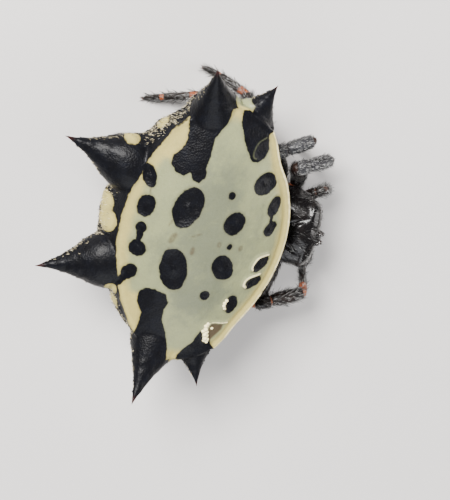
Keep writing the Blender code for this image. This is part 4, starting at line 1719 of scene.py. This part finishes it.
@dataclass
class Cephalothorax:
    """Carapace, breastplate, leg stubs, mouth parts and eyes.

    Args:
        sections: How far ahead, half the width, and the lowest and highest point.
        squareness: Below 1 makes the sections squarer.
        turret: Middle and radii of the mound that carries the middle eyes.
        eyes: Place and radius of the left side's eyes.
        voxel: The side of a voxel of the skin.
        seed: For its hairs.
    """

    sections: tuple[tuple[float, float, float, float], ...] = (
        (2.40, 0.42, 1.72, 2.18), (2.60, 0.80, 1.45, 2.44), (3.00, 1.12, 1.30, 2.70),
        (3.50, 1.26, 1.26, 2.88), (4.00, 1.29, 1.28, 3.06), (4.40, 1.25, 1.40, 3.18),
        (4.56, 1.20, 2.12, 3.20), (4.80, 1.06, 2.18, 3.10), (4.94, 0.84, 2.28, 2.94),
    )
    squareness: float = 0.8
    turret: tuple[Point, Point] = ((0.0, 4.74, 2.86), (0.34, 0.34, 0.24))
    eyes: tuple[tuple[Point, float], ...] = (
        ((0.15, 5.04, 2.92), 0.09), ((0.16, 4.93, 3.04), 0.08), ((0.92, 4.76, 2.84), 0.08),
        ((0.86, 4.86, 2.74), 0.07),
    )
    voxel: float = 0.034
    seed: int = 23

    def trunk(self) -> Shape:
        """Head and thorax.

        Returns:
            One closed body.
        """
        rings = []
        turns = TURN * np.arange(72) / 72
        across = np.copysign(np.abs(np.cos(turns)) ** self.squareness, np.cos(turns))
        rise = np.copysign(np.abs(np.sin(turns)) ** self.squareness, np.sin(turns))
        for ahead, half, low, high in through(np.array(self.sections), 5):
            rings.append(place(half * across, ahead, (low + high) / 2 + (high - low) / 2 * rise))
        return loft(np.array(rings))

    def build(self, hips: Sequence[Point]) -> None:
        """Makes the pieces of head and thorax.

        Args:
            hips: Where each leg's hip is.
        """
        centre, radii = self.turret
        shapes = [self.trunk(), ball(place(*centre), radii), ball(place(0.0, 4.40, 3.02), (0.62, 0.46, 0.22))]
        for way in WAYS:
            for spot, radius in self.eyes:
                seat = (spot[0], spot[1] - 0.04, spot[2] - 0.02)
                shapes.append(ball(mirrored(seat, way), (1.25 * radius,) * 3, 16))
            shapes.append(ball(place(0.52 * way, 4.78, 2.34), (0.42, 0.20, 0.20)))
        skin = voxel_skin(shapes, self.voxel).smoothed(5)
        side, ahead, up = skin.points[:, 0], MID_AHEAD - skin.points[:, 1], skin.points[:, 2]
        above = ease(skin.normals()[:, 2], -0.1, 0.4)
        groove = hump(np.abs(side) - 0.55 * np.clip(ahead - 3.30, 0, 2) - 0.05, 0.09)
        groove *= ease(ahead, 3.2, 3.4) * (1.0 - ease(ahead, 4.1, 4.6))
        pit = hump(np.hypot(side / 0.10, (ahead - 3.28) / 0.16), 1.0)
        rays = np.sin(7.0 * np.arctan2(ahead - 3.3, np.abs(side)) + 1.0)
        rays *= ease(np.hypot(side, ahead - 3.3), 0.3, 0.8)
        rise = above * (-0.05 * groove - 0.06 * pit + 0.014 * rays * (1.0 - ease(ahead, 4.0, 4.5)))
        rise += 0.014 * ripple(skin.points, 2.6, 4.0) + 0.007 * ripple(skin.points, 7.0, 2.0)
        skin.points = skin.points + skin.normals() * rise[:, None]
        skin.piece("carapace", Finish.CUTICLE.look, "black_cuticle", "cephalothorax")
        self.breastplate().piece("breastplate", Finish.CUTICLE.look, "black_cuticle", "cephalothorax")
        stubs = Shape.joined([self.stub(hip) for hip in hips])
        stubs.piece("leg_stubs", Finish.LEG.look, "leg_cuticle", "cephalothorax")
        self.mouth().piece("mouth_parts", Finish.CUTICLE.look, "black_cuticle", "cephalothorax")
        beads = []
        for way in WAYS:
            for spot, radius in self.eyes:
                seat = (spot[0], spot[1] + 0.02, spot[2] + 0.02)
                beads.append(ball(mirrored(seat, way), (radius,) * 3, 20))
        Shape.joined(beads).piece("eyes", Finish.EYE.look, "black_cuticle", "cephalothorax")
        self.coat(skin, stubs)

    def breastplate(self) -> Shape:
        """The shield between the legs' roots, below.

        Returns:
            One closed shape.
        """
        turns = TURN * np.arange(60) / 60
        wide = 0.60 * (1.0 + 0.06 * np.cos(8 * turns))
        rings = []
        profile = (
            (0.3, 1.42), (0.9, 1.34), (1.0, 1.27), (0.96, 1.225), (0.8, 1.205), (0.5, 1.19), (0.1, 1.185)
        )
        for share, up in profile:
            ahead = 3.50 + 0.80 * share * np.sin(turns)
            taper = 1.0 - 0.32 * np.clip(-np.sin(turns), 0, 1) ** 1.5
            rings.append(place(wide * taper * share * np.cos(turns), ahead, up))
        return loft(np.array(rings))

    def stub(self, hip: Point) -> Shape:
        """The coxa in which one leg is rooted.

        Args:
            hip: The leg's hip.

        Returns:
            One closed shape.
        """
        root, way = coxa_axis(hip)
        end = place(*hip) - way * 0.34
        shares = np.array([0.0, 0.2, 0.4, 0.6, 0.78, 0.9, 0.96, 1.0])
        radii = np.array([0.16, 0.22, 0.25, 0.255, 0.25, 0.245, 0.22, 0.12])
        path = root + np.outer(shares, end - root)
        band = ease(shares, 0.82, 0.95)
        rings = tube(path, radii, radii, 24)
        none = 0.0 * shares
        return loft(rings, band=band * 0.9, soft=none, silver=none, lie=np.tile(way, (len(shares), 1)))

    def mouth(self) -> Shape:
        """The two endites that carry the palps, and the lip between them.

        Returns:
            All as one shape.
        """
        parts = []
        for way in WAYS:
            root, end = mirrored((0.50, 4.00, 1.58), way), mirrored((0.88, 4.58, 1.62), way)
            shares = np.linspace(0, 1, 9)
            wide = np.interp(shares, (0, 0.15, 0.6, 0.9, 1.0), (0.10, 0.20, 0.26, 0.22, 0.10))
            parts.append(loft(tube(root + np.outer(shares, end - root), wide, wide * 0.85, 20)))
            inner = mirrored((0.26, 4.36, 1.44), way)
            parts.append(ball(inner, (0.20, 0.26, 0.17), 20))
        parts.append(ball(place(0.0, 4.16, 1.34), (0.20, 0.20, 0.12), 20))
        return Shape.joined(parts)

    def coat(self, skin: Shape, stubs: Shape) -> None:
        """Grows the fine grey hairs of the carapace and the stubs' bristles.

        Args:
            skin: The carapace's skin.
            stubs: The leg stubs.
        """
        draw = np.random.default_rng(self.seed)
        normals = skin.normals()
        across = 0.25 + skin.points[:, 0] / 6 + 0.5 * (normals[:, 2] < 0)
        chart = np.stack([across, 0.5 + skin.points[:, 1] / 12], 1)
        lie = np.tile([0.0, -1.0, 0.15], (len(skin.points), 1))
        share = 0.35 + 0.65 * ease(normals[:, 2], -0.2, 0.3)
        roots = scatter(skin, 1100, share, lie, chart, draw)
        hairs = Hair((0.08, 0.20), 0.011, 44, 30, 0.20).grown(roots, draw)
        hairs.piece("carapace_hairs", Finish.HAIR.look, "black_cuticle", "cephalothorax")
        chart = np.stack([stubs.points[:, 0] / 6 + 0.5, 0.5 + stubs.points[:, 1] / 12], 1)
        roots = scatter(stubs, 700, np.ones(len(stubs.points)), stubs.values["lie"], chart, draw)
        hairs = Hair((0.10, 0.20), 0.014, 40, 20, 0.45).grown(roots, draw)
        hairs.piece("stub_hairs", Finish.HAIR.look, "leg_cuticle", "cephalothorax")


def coxa_axis(hip: Point) -> tuple[np.ndarray, np.ndarray]:
    """Where a coxa is rooted in the thorax, and its way to the hip."""
    root = place(hip[0] * 0.42, 0.75 * hip[1] + 0.25 * 3.45, hip[2] + 0.12)
    return root, unit(place(*hip) - root)


# Legs, palps and jaws.


@dataclass(frozen=True)
class Segment:
    """One hard segment of a leg or palp.

    Args:
        radii: Radius at its start, middle and end.
        bow: How far its middle rises.
        bands: Rust-coloured stretches as (from, to) shares of its length.
        pale: How dusty its cuticle is and how pale its hairs are.
    """

    radii: tuple[float, float, float]
    bow: float = 0.0
    bands: tuple[tuple[float, float], ...] = ()
    pale: float = 0.0

    def shape(self, start: np.ndarray, end: np.ndarray, number: int) -> Shape:
        """The segment between two joints.

        Args:
            start: The nearer joint.
            end: The further joint.
            number: Its place along the leg, for the unwrap.

        Returns:
            A closed barrel with rounded ends.
        """
        shares = np.array([0, 0.015, 0.05, 0.11, 0.2, 0.32, 0.45, 0.58, 0.7, 0.8, 0.88, 0.94, 0.98, 1.0])
        first, middle, last = self.radii
        belly = 2 * shares * (1 - shares) * (2 * middle - (first + last) / 2)
        run = (1 - shares) ** 2 * first + belly + shares**2 * last
        ends = np.array([0.45, 0.72, 0.93, 1.0, 1, 1, 1, 1, 1, 1.0, 1.0, 1.02, 0.86, 0.5])
        path = start + np.outer(shares, end - start)
        path[:, 2] += self.bow * np.sin(math.pi * shares)
        rings = tube(path, run * ends, run * ends, 20)
        band = np.zeros(len(shares))
        for low, high in self.bands:
            inside = ease(shares, low - 0.06, low + 0.03) * (1 - ease(shares, high - 0.03, high + 0.06))
            band = np.maximum(band, inside)
        return loft(
            rings, band=band, soft=0 * shares, hairy=ends.clip(0, 1), silver=np.full(len(shares), self.pale),
            number=number + shares, lie=np.tile(unit(end - start), (len(shares), 1)),
        )


def joint_ring(spot: np.ndarray, way: np.ndarray, radius: float, number: int) -> Shape:
    """The soft ringed skin of a joint.

    Args:
        spot: The joint's middle.
        way: The way through it.
        radius: Its radius.
        number: Its place along the leg, for the unwrap.

    Returns:
        A short, ribbed barrel.
    """
    shares = np.linspace(-1, 1, 13)
    ribs = radius * (0.93 + 0.05 * np.cos(shares * 14.0)) * np.sqrt(np.clip(1.02 - shares**2, 0.02, 1))
    path = spot + np.outer(shares * radius * 0.80, unit(way))
    flat = np.ones(len(shares))
    return loft(
        tube(path, ribs, ribs, 20), band=flat, soft=flat, hairy=0 * flat, silver=0 * flat,
        number=number + 0 * flat, lie=np.tile(unit(way), (len(shares), 1)),
    )


@dataclass
class Leg:
    """One leg from its trochanter to its claws.

    Args:
        name: Such as left_1.
        joints: Hip, knee, end of the shank, ankle and foot.
        silver: How dusty the outer segments are and how pale their hairs.
        rust: How strong the colour of its bands and joints is.
        seed: For its hairs.
        patella_share: The patella's share of the way from the knee to the end of the shank.
        patella_arch: How far its end is raised.
        trochanter: The trochanter's length.
        foot_up: Height of the foot's middle above the floor.
        segments: From trochanter to tarsus.
        hair_count: Fine hairs of a leg without silver.
    """

    name: str
    joints: tuple[Point, ...]
    silver: float
    rust: float
    seed: int
    patella_share: float = 0.32
    patella_arch: float = 0.06
    trochanter: float = 0.36
    foot_up: float = 0.055
    segments: tuple[Segment, ...] = (
        Segment((0.20, 0.23, 0.20), 0.0, ((0.80, 1.2),)),
        Segment((0.20, 0.250, 0.21), 0.04, ((0.975, 1.2),)),
        Segment((0.20, 0.235, 0.21), 0.02, ((0.96, 1.2),)),
        Segment((0.20, 0.235, 0.19), 0.02, ((0.97, 1.2),)),
        Segment((0.145, 0.130, 0.120), 0.02, ((-0.2, 0.24),)),
        Segment((0.110, 0.100, 0.065), 0.0, ((-0.2, 0.14),)),
    )
    hair_count: int = 1500

    def places(self) -> list[np.ndarray]:
        """The joints from the trochanter's root to the foot.

        Returns:
            Their places.
        """
        hip, knee, shank, ankle, foot = (place(*joint) for joint in self.joints)
        way = coxa_axis(self.joints[0])[1]
        patella = knee + (shank - knee) * self.patella_share + np.array([0, 0, self.patella_arch])
        foot = foot + np.array([0, 0, self.foot_up])
        return [hip - way * self.trochanter, hip, knee, patella, shank, ankle, foot]

    def build(self) -> None:
        """Makes the leg's pieces."""
        spots = self.places()
        parts = []
        for k, segment in enumerate(self.segments):
            if k >= 2:
                segment = Segment(segment.radii, segment.bow, segment.bands, self.silver)
            parts.append(segment.shape(spots[k], spots[k + 1], k))
            way = spots[k + 1] - spots[k]
            if k:
                before = spots[k] - spots[k - 1]
                way = way / np.linalg.norm(way) + before / np.linalg.norm(before)
            parts.append(joint_ring(spots[k], way, 0.90 * segment.radii[0], k))
        skin = Shape.joined(parts)
        skin.values["band"] *= self.rust
        skin.values["soft"] *= self.rust
        node = "leg_" + self.name
        skin.piece(node + "_cuticle", Finish.LEG.look, "leg_cuticle", node)
        self.claws(spots).piece(node + "_claws", Finish.FANG.look, "leg_cuticle", node)
        self.coat(skin, node)

    def claws(self, spots: list[np.ndarray]) -> Shape:
        """Two curved claws and a small middle one at the foot.

        Args:
            spots: The leg's joints.

        Returns:
            All as one shape.
        """
        foot, way = spots[-1], unit(spots[-1] - spots[-2])
        level = unit(way * (1, 1, 0))
        side = np.cross(level, [0.0, 0.0, 1.0])
        parts = []
        for turn, length in ((-1.0, 0.15), (1.0, 0.15), (0.0, 0.09)):
            shares = np.linspace(0, 1, 7)
            reach = np.outer(shares, level * length) + np.outer(shares * turn * 0.035 + turn * 0.02, side)
            arch = 0.03 * np.sin(shares * 2.6) - 0.035 * shares
            path = foot - way * 0.03 + reach + np.outer(arch, [0, 0, 1.0])
            radii = 0.022 * (1 - shares) + 0.004
            path[:, 2] = np.maximum(path[:, 2], radii + 0.001)
            parts.append(loft(tube(path, radii, radii, 8)))
        return Shape.joined(parts)

    def coat(self, skin: Shape, node: str) -> None:
        """Grows the leg's hairs: many fine ones and some stout bristles.

        Args:
            skin: The leg's shape.
            node: The CAD node that it stands for.
        """
        draw = np.random.default_rng(self.seed)
        values = skin.values
        axis = values["number"] / 7.0
        spin = np.arctan2(skin.points[:, 2] - skin.points[:, 2].mean(), skin.points[:, 0]) / TURN + 0.5
        chart = np.stack([0.02 + 0.96 * axis, spin], 1)
        lie, hairy = values.pop("lie"), values.pop("hairy")
        count = int(self.hair_count * (1.0 + 1.3 * self.silver))
        roots = scatter(skin, count, hairy, lie, chart, draw)
        silver = roots.values["silver"]
        fine = Hair((0.10, 0.22), 0.014, 32, 18, 0.35).grown(roots, draw, 1.0 - 0.85 * silver)
        silver = np.repeat(0.22 * silver, len(fine.points) // len(silver))
        fine.values["pale"] = np.clip(fine.values["pale"] + silver, 0, 1)
        share = hairy * ease(values["number"], 1.5, 3.0)
        stout = scatter(skin, self.hair_count // 9, share, lie, chart, draw)
        shorter = 1.0 - 0.9 * stout.values["silver"]
        bristles = Hair((0.22, 0.36), 0.024, 48, 18, 0.12).grown(stout, draw, shorter)
        both = Shape.joined([fine, bristles])
        both.values = {"pale": both.values["pale"]}
        both.piece(node + "_hairs", Finish.HAIR.look, "leg_cuticle", node)


@dataclass
class Palp:
    """One palp, a short feeler beside the jaws.

    Args:
        name: Such as left.
        way: 1 for the left one, -1 for the right one.
        seed: For its hairs.
        points: Its joints on the left side.
        segments: From root to tip.
        rust: How strong the colour of its bands and joints is.
    """

    name: str
    way: int
    seed: int
    points: tuple[Point, ...] = (
        (0.90, 4.60, 1.62), (1.20, 4.82, 1.98), (1.34, 5.02, 2.00), (1.24, 5.20, 1.70), (1.10, 5.26, 1.30),
    )
    segments: tuple[Segment, ...] = (
        Segment((0.15, 0.19, 0.17), 0.03, ((0.9, 1.2),)),
        Segment((0.16, 0.19, 0.17), 0.02),
        Segment((0.16, 0.18, 0.15), 0.02, ((0.9, 1.2),)),
        Segment((0.15, 0.15, 0.06), 0.01, ((-0.2, 0.08),)),
    )
    rust: float = 0.10

    def build(self) -> None:
        """Makes the palp's pieces."""
        spots = [mirrored(point, self.way) for point in self.points]
        parts = []
        for k, segment in enumerate(self.segments):
            parts.append(segment.shape(spots[k], spots[k + 1], k))
            parts.append(joint_ring(spots[k], spots[k + 1] - spots[k], 0.88 * segment.radii[0], k))
        skin = Shape.joined(parts)
        skin.values["band"] *= self.rust
        skin.values["soft"] *= self.rust
        node = "palp_" + self.name
        skin.piece(node + "_cuticle", Finish.LEG.look, "leg_cuticle", node)
        draw = np.random.default_rng(self.seed)
        values = skin.values
        chart = np.stack([values["number"] / 5.0 * 0.96 + 0.02, (skin.points[:, 2] - 1.0) / 1.6], 1)
        lie, hairy = values.pop("lie"), values.pop("hairy")
        roots = scatter(skin, 650, hairy * (0.3 + values["number"]), lie, chart, draw)
        hairs = Hair((0.12, 0.26), 0.016, 42, 22, 0.35).grown(roots, draw)
        hairs.piece(node + "_hairs", Finish.HAIR.look, "leg_cuticle", node)
        tip, way = spots[-1], unit(spots[-1] - spots[-2])
        shares = np.linspace(0, 1, 7)
        arch = np.outer(0.03 * np.sin(shares * 3), [0, -1.0, 0])
        path = tip - way * 0.03 + np.outer(shares, way * 0.12) + arch
        radii = 0.020 * (1 - shares) + 0.004
        loft(tube(path, radii, radii, 8)).piece(node + "_claw", Finish.FANG.look, "leg_cuticle", node)


@dataclass
class Jaw:
    """One chelicera with its fang.

    Args:
        name: Such as left.
        way: 1 for the left one, -1 for the right one.
        seed: For its hairs.
        side: Its middle to the left.
        sections: Height, half width, half depth and middle ahead of each ring.
        fang: The fang's path on the left side.
    """

    name: str
    way: int
    seed: int
    side: float = 0.38
    sections: tuple[tuple[float, float, float, float], ...] = (
        (2.06, 0.15, 0.12, 4.84), (2.00, 0.24, 0.20, 4.86), (1.85, 0.30, 0.28, 4.89),
        (1.65, 0.32, 0.31, 4.90), (1.45, 0.30, 0.30, 4.89), (1.25, 0.27, 0.27, 4.87),
        (1.08, 0.23, 0.23, 4.84), (0.96, 0.17, 0.18, 4.81), (0.90, 0.08, 0.09, 4.80),
    )
    fang: tuple[Point, ...] = (
        (0.42, 4.78, 1.00), (0.36, 4.74, 0.87), (0.28, 4.66, 0.79), (0.22, 4.57, 0.76),
    )

    def build(self) -> None:
        """Makes the jaw's pieces."""
        turns = TURN * np.arange(36) / 36
        rings = []
        for up, wide, deep, ahead in through(np.array(self.sections), 3):
            rings.append(place(self.way * self.side + wide * np.cos(turns), ahead + deep * np.sin(turns), up))
        skin = loft(np.array(rings))
        skin.points = skin.points + skin.normals() * (0.010 * ripple(skin.points, 4.0, 6.0))[:, None]
        node = "chelicera_" + self.name
        skin.piece(node + "_base", Finish.CUTICLE.look, "black_cuticle", node)
        path = through(np.array([mirrored(point, self.way) for point in self.fang]), 5)
        radii = np.interp(np.linspace(0, 1, len(path)), (0, 0.15, 0.6, 1), (0.06, 0.085, 0.05, 0.008))
        parts = [loft(tube(path, radii, radii, 16))]
        for k in range(3):
            root = mirrored((0.20 + 0.03 * k, 4.64 + 0.09 * k, 0.98 - 0.01 * k), self.way)
            line = root + np.outer(np.linspace(0, 1, 5), [0, 0.01, -0.075])
            taper = np.array([0.030, 0.028, 0.022, 0.014, 0.004])
            parts.append(loft(tube(line, taper, taper, 8)))
        Shape.joined(parts).piece(node + "_fang", Finish.FANG.look, "black_cuticle", node)
        draw = np.random.default_rng(self.seed)
        chart = np.stack([0.5 + (skin.points[:, 0] - self.way * self.side) / 1.4, skin.points[:, 2] / 2.4], 1)
        lie = np.tile([0.0, -0.3, -1.0], (len(skin.points), 1))
        roots = scatter(skin, 480, ease(2.0 - skin.points[:, 2], 0.0, 0.4) + 0.1, lie, chart, draw)
        hairs = Hair((0.10, 0.24), 0.015, 38, 15, 0.40).grown(roots, draw)
        hairs.piece(node + "_hairs", Finish.HAIR.look, "black_cuticle", node)


# Waist and spinnerets.


@dataclass
class Waist:
    """The narrow ringed stalk between thorax and abdomen.

    Args:
        path: The places that it runs through.
        radius: Its mean radius.
    """

    path: tuple[Point, ...] = ((0.0, 2.62, 1.96), (0.0, 2.40, 1.95), (0.0, 2.20, 1.98), (0.0, 1.95, 2.06))
    radius: float = 0.22

    def build(self) -> None:
        """Makes the waist."""
        path = through(place(*np.array(self.path).T), 8)
        shares = np.linspace(0, 1, len(path))
        radii = self.radius * (1.0 + 0.07 * np.cos(shares * 38.0)) * (0.86 + 0.3 * (shares - 0.5) ** 2)
        rings = tube(path, radii * 1.15, radii, 28)
        loft(rings).piece("waist", Finish.CUTICLE.look, "black_cuticle", "pedicel")


@dataclass
class Spinnerets:
    """The raised ring under the belly and its six spinnerets.

    Args:
        ahead: The ring's middle ahead.
        profile: Height and radius of the ring, from its top down and in again.
        fingers: To the left, ahead of the ring's middle, and radius.
        seed: For its hairs.
    """

    ahead: float = 0.40
    profile: tuple[tuple[float, float], ...] = (
        (1.42, 0.50), (1.24, 0.55), (1.12, 0.60), (1.02, 0.585), (0.94, 0.60), (0.86, 0.53), (0.80, 0.50),
        (0.77, 0.42), (0.80, 0.34), (0.84, 0.20),
    )
    fingers: tuple[tuple[float, float, float], ...] = (
        (0.17, 0.22, 0.125), (0.20, -0.16, 0.115), (0.12, 0.02, 0.085),
    )
    seed: int = 71

    def build(self) -> None:
        """Makes ring, spinnerets and their hairs."""
        turns = TURN * np.arange(72) / 72
        rings = []
        for up, radius in through(np.array(self.profile), 4):
            reach = radius * (1.0 + 0.018 * np.sin(17 * turns + 3 * up) + 0.012 * np.sin(29 * turns))
            rings.append(place(reach * np.cos(turns), self.ahead + reach * np.sin(turns), up))
        ring = loft(np.array(rings))
        ring.piece("spinneret_ring", Finish.SPINNERET.look, "spinneret_brown", "spinnerets")
        parts = []
        shares = np.linspace(0, 1, 12)
        taper = np.interp(shares, (0, 0.6, 0.72, 0.74, 0.92, 1), (1, 1, 0.9, 0.72, 0.55, 0.18))
        for way in WAYS:
            for side, ahead, radius in self.fingers:
                root = place(side * way, self.ahead + ahead, 1.0)
                tip = place(0.8 * side * way, self.ahead + 0.8 * ahead, 0.50)
                radii = radius * taper
                parts.append(loft(tube(root + np.outer(shares, tip - root), radii, radii, 20, (0, 1, 0))))
        root, tip = place(0.0, self.ahead - 0.30, 0.95), place(0.0, self.ahead - 0.34, 0.62)
        radii = 0.10 * np.interp(shares, (0, 0.7, 1), (1, 0.9, 0.3))
        parts.append(loft(tube(root + np.outer(shares, tip - root), radii * 1.3, radii, 20, (0, 1, 0))))
        fingers = Shape.joined(parts)
        fingers.piece("spinneret_fingers", Finish.SPINNERET.look, "spinneret_brown", "spinnerets")
        draw = np.random.default_rng(self.seed)
        both = Shape.joined([ring, fingers])
        chart = np.stack([0.5 + both.points[:, 0] / 2, 0.5 + (both.points[:, 1] - 0.4) / 2], 1)
        lie = np.tile([0.0, 0.0, -1.0], (len(both.points), 1))
        roots = scatter(both, 700, 0.3 + ease(0.85 - both.points[:, 2], 0, 0.2), lie, chart, draw)
        hairs = Hair((0.06, 0.13), 0.012, 35, 20, 0.45).grown(roots, draw)
        hairs.piece("spinneret_hairs", Finish.HAIR.look, "spinneret_brown", "spinnerets")


# Floor, light and camera.


@dataclass(frozen=True)
class Lamp:
    """A soft square light.

    Args:
        name: Its name.
        spot: Its place.
        size: The side of its square.
        watts: Its power.
        tint: Its colour.
    """

    name: str
    spot: Point
    size: float
    watts: float
    tint: Colour = (1.0, 1.0, 1.0)

    def build(self, aim: Vector) -> None:
        """Puts the light up.

        Args:
            aim: The place in the model that it is turned to.
        """
        light = bpy.data.lights.new(self.name, "AREA")
        light.size = self.size * MM
        light.energy = self.watts
        light.color = self.tint
        made = bpy.data.objects.new(self.name, light)
        bpy.context.scene.collection.objects.link(made)
        made.location = Vector(place(*self.spot)) * MM
        made.rotation_euler = (made.location - aim).to_track_quat("Z", "Y").to_euler()


@dataclass(frozen=True)
class Stage:
    """Floor, lights and the camera at the photograph's angle.

    Args:
        lamps: The lights.
        world: Colour of the surroundings.
        glow: Strength of the surroundings.
        floor_reach: Half the floor's side in metres.
        lean: How far the view leans to the spider's left, as a sine.
        tilt: Degrees that it leans back from upright.
        roll: Degrees that the picture is turned.
        distance: From the back's middle to the camera.
        focal: The focal length in pixels.
        picture: The picture's width and height in pixels.
        middle: Where the back's middle lies in the picture.
        back_up: Height of the middle of the back above the floor.
        film: The camera's film width.
    """

    lamps: tuple[Lamp, ...] = (
        Lamp("key", (60, -55, 85), 40, 0.56, (1.0, 0.985, 0.96)),
        Lamp("fill", (-85, 10, 60), 80, 0.10, (0.95, 0.97, 1.0)),
        Lamp("front", (10, 100, 50), 60, 0.12, (1.0, 0.98, 0.96)),
    )
    world: Colour = (0.55, 0.56, 0.58)
    glow: float = 0.26
    floor_reach: float = 0.6
    lean: float = 0.38
    tilt: float = 17.0
    roll: float = 15.065
    distance: float = 62.5
    focal: float = 2000.0
    picture: tuple[float, float] = (450.0, 500.0)
    middle: tuple[float, float] = (181.84, 238.96)
    back_up: float = BACK_UP
    film: float = 36.0

    def camera(self) -> None:
        """Makes the camera, turned with the spider to the photograph's view of its back."""
        level = math.sqrt(1.0 - self.lean**2)
        tilt, roll = math.radians(self.tilt), math.radians(self.roll)
        out = np.array([self.lean, level * math.sin(tilt), level * math.cos(tilt)])
        side = (np.array([1.0, 0.0, 0.0]) - self.lean * out) / level
        flat = np.array([0.0, -out[2], out[1]]) / level
        right = flat * math.cos(roll) + side * math.sin(roll)
        above = -flat * math.sin(roll) + side * math.cos(roll)
        shift = self.distance / self.focal
        off = np.array(self.middle) - 0.5 * np.array(self.picture)
        centre = self.distance * out - off[0] * shift * right + off[1] * shift * above
        centre = centre + place(0.0, 0.0, self.back_up)
        lens = bpy.data.cameras.new("camera")
        lens.lens = self.film * self.focal / self.picture[1]
        lens.sensor_width = self.film
        lens.clip_start = 0.001
        lens.clip_end = 10.0
        made = bpy.data.objects.new("camera", lens)
        bpy.context.scene.collection.objects.link(made)
        turn = Matrix(np.stack([right, above, out], 1).tolist()).to_4x4()
        made.matrix_world = Matrix.Translation(Vector(centre) * MM) @ turn
        bpy.context.scene.camera = made

    def build(self) -> None:
        """Makes floor, lights and camera."""
        mesh = bpy.data.meshes.new("floor")
        far = self.floor_reach
        corners = [(-far, -far, 0), (far, -far, 0), (far, far, 0), (-far, far, 0)]
        mesh.from_pydata(corners, [], [(0, 1, 2, 3)])
        floor = bpy.data.objects.new("floor", mesh)
        bpy.context.scene.collection.objects.link(floor)
        floor.data.materials.append(Finish.FLOOR.look)
        for lamp in self.lamps:
            lamp.build(Vector(place(0.0, 0.5, 2.5)) * MM)
        world = bpy.data.worlds.new("studio")
        world.use_nodes = True
        sky = world.node_tree.nodes["Background"]
        sky.inputs["Color"].default_value = (*self.world, 1.0)
        sky.inputs["Strength"].default_value = self.glow
        bpy.context.scene.world = world
        self.camera()


# Each leg's hip, knee, end of the shank, ankle and foot.
LEGS_LEFT: dict[int, tuple[Point, ...]] = {
    1: (
        (1.50, 4.25, 1.50), (2.25, 3.66, 2.80), (2.58, 4.80, 2.50),
        (1.74, 4.95, 0.85), (1.40, 5.02, 0.0),
    ),
    2: (
        (1.52, 3.62, 1.48), (2.50, 2.86, 2.48), (3.14, 4.04, 2.50),
        (2.26, 4.30, 0.80), (1.92, 4.42, 0.0),
    ),
    3: (
        (1.52, 3.02, 1.42), (2.95, 2.15, 2.00), (3.87, 1.86, 1.15),
        (4.10, 1.05, 0.46), (4.15, 0.55, 0.0),
    ),
    4: (
        (1.36, 2.46, 1.36), (2.98, 1.48, 1.70), (3.50, 0.42, 0.96),
        (3.05, -0.60, 0.44), (2.76, -1.15, 0.0),
    ),
}
LEGS_RIGHT: dict[int, tuple[Point, ...]] = {
    1: (
        (-1.50, 4.25, 1.50), (-2.85, 3.60, 2.50), (-2.26, 5.18, 2.40),
        (-1.78, 5.34, 0.95), (-1.60, 5.52, 0.0),
    ),
    2: (
        (-1.52, 3.62, 1.48), (-2.72, 2.70, 2.36), (-3.30, 2.96, 1.60),
        (-3.22, 3.30, 0.62), (-3.12, 3.52, 0.0),
    ),
}
# How pale a leg's hairs are, and how strong the colour of its bands.
SILVER_LEGS = {"left_1": (0.50, 0.02), "left_2": (0.55, 0.02)}
PLAIN_LEG = (0.15, 1.0)


def all_legs() -> dict[str, tuple[Point, ...]]:
    """Every leg's joints, the right ones mirrored where they aren't held otherwise.

    Returns:
        The joints by the name of the leg.
    """
    legs = {}
    for number, joints in LEGS_LEFT.items():
        legs[f"left_{number}"] = joints
        legs[f"right_{number}"] = LEGS_RIGHT.get(number, tuple((-x, y, z) for x, y, z in joints))
    return legs


def main() -> None:
    """Builds the spider and its stage."""
    logging.basicConfig(level=logging.INFO, format="%(message)s")
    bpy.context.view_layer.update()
    Stage().build()
    legs = all_legs()
    Abdomen().build()
    Cephalothorax().build([joints[0] for joints in legs.values()])
    Waist().build()
    Spinnerets().build()
    for name, way in (("left", 1), ("right", -1)):
        Jaw(name, way, 40 + way).build()
        Palp(name, way, 50 + way).build()
    for number, (name, joints) in enumerate(legs.items()):
        silver, rust = SILVER_LEGS.get(name, PLAIN_LEG)
        Leg(name, joints, silver, rust, 100 + number).build()


if __name__ == "__main__":
    main()
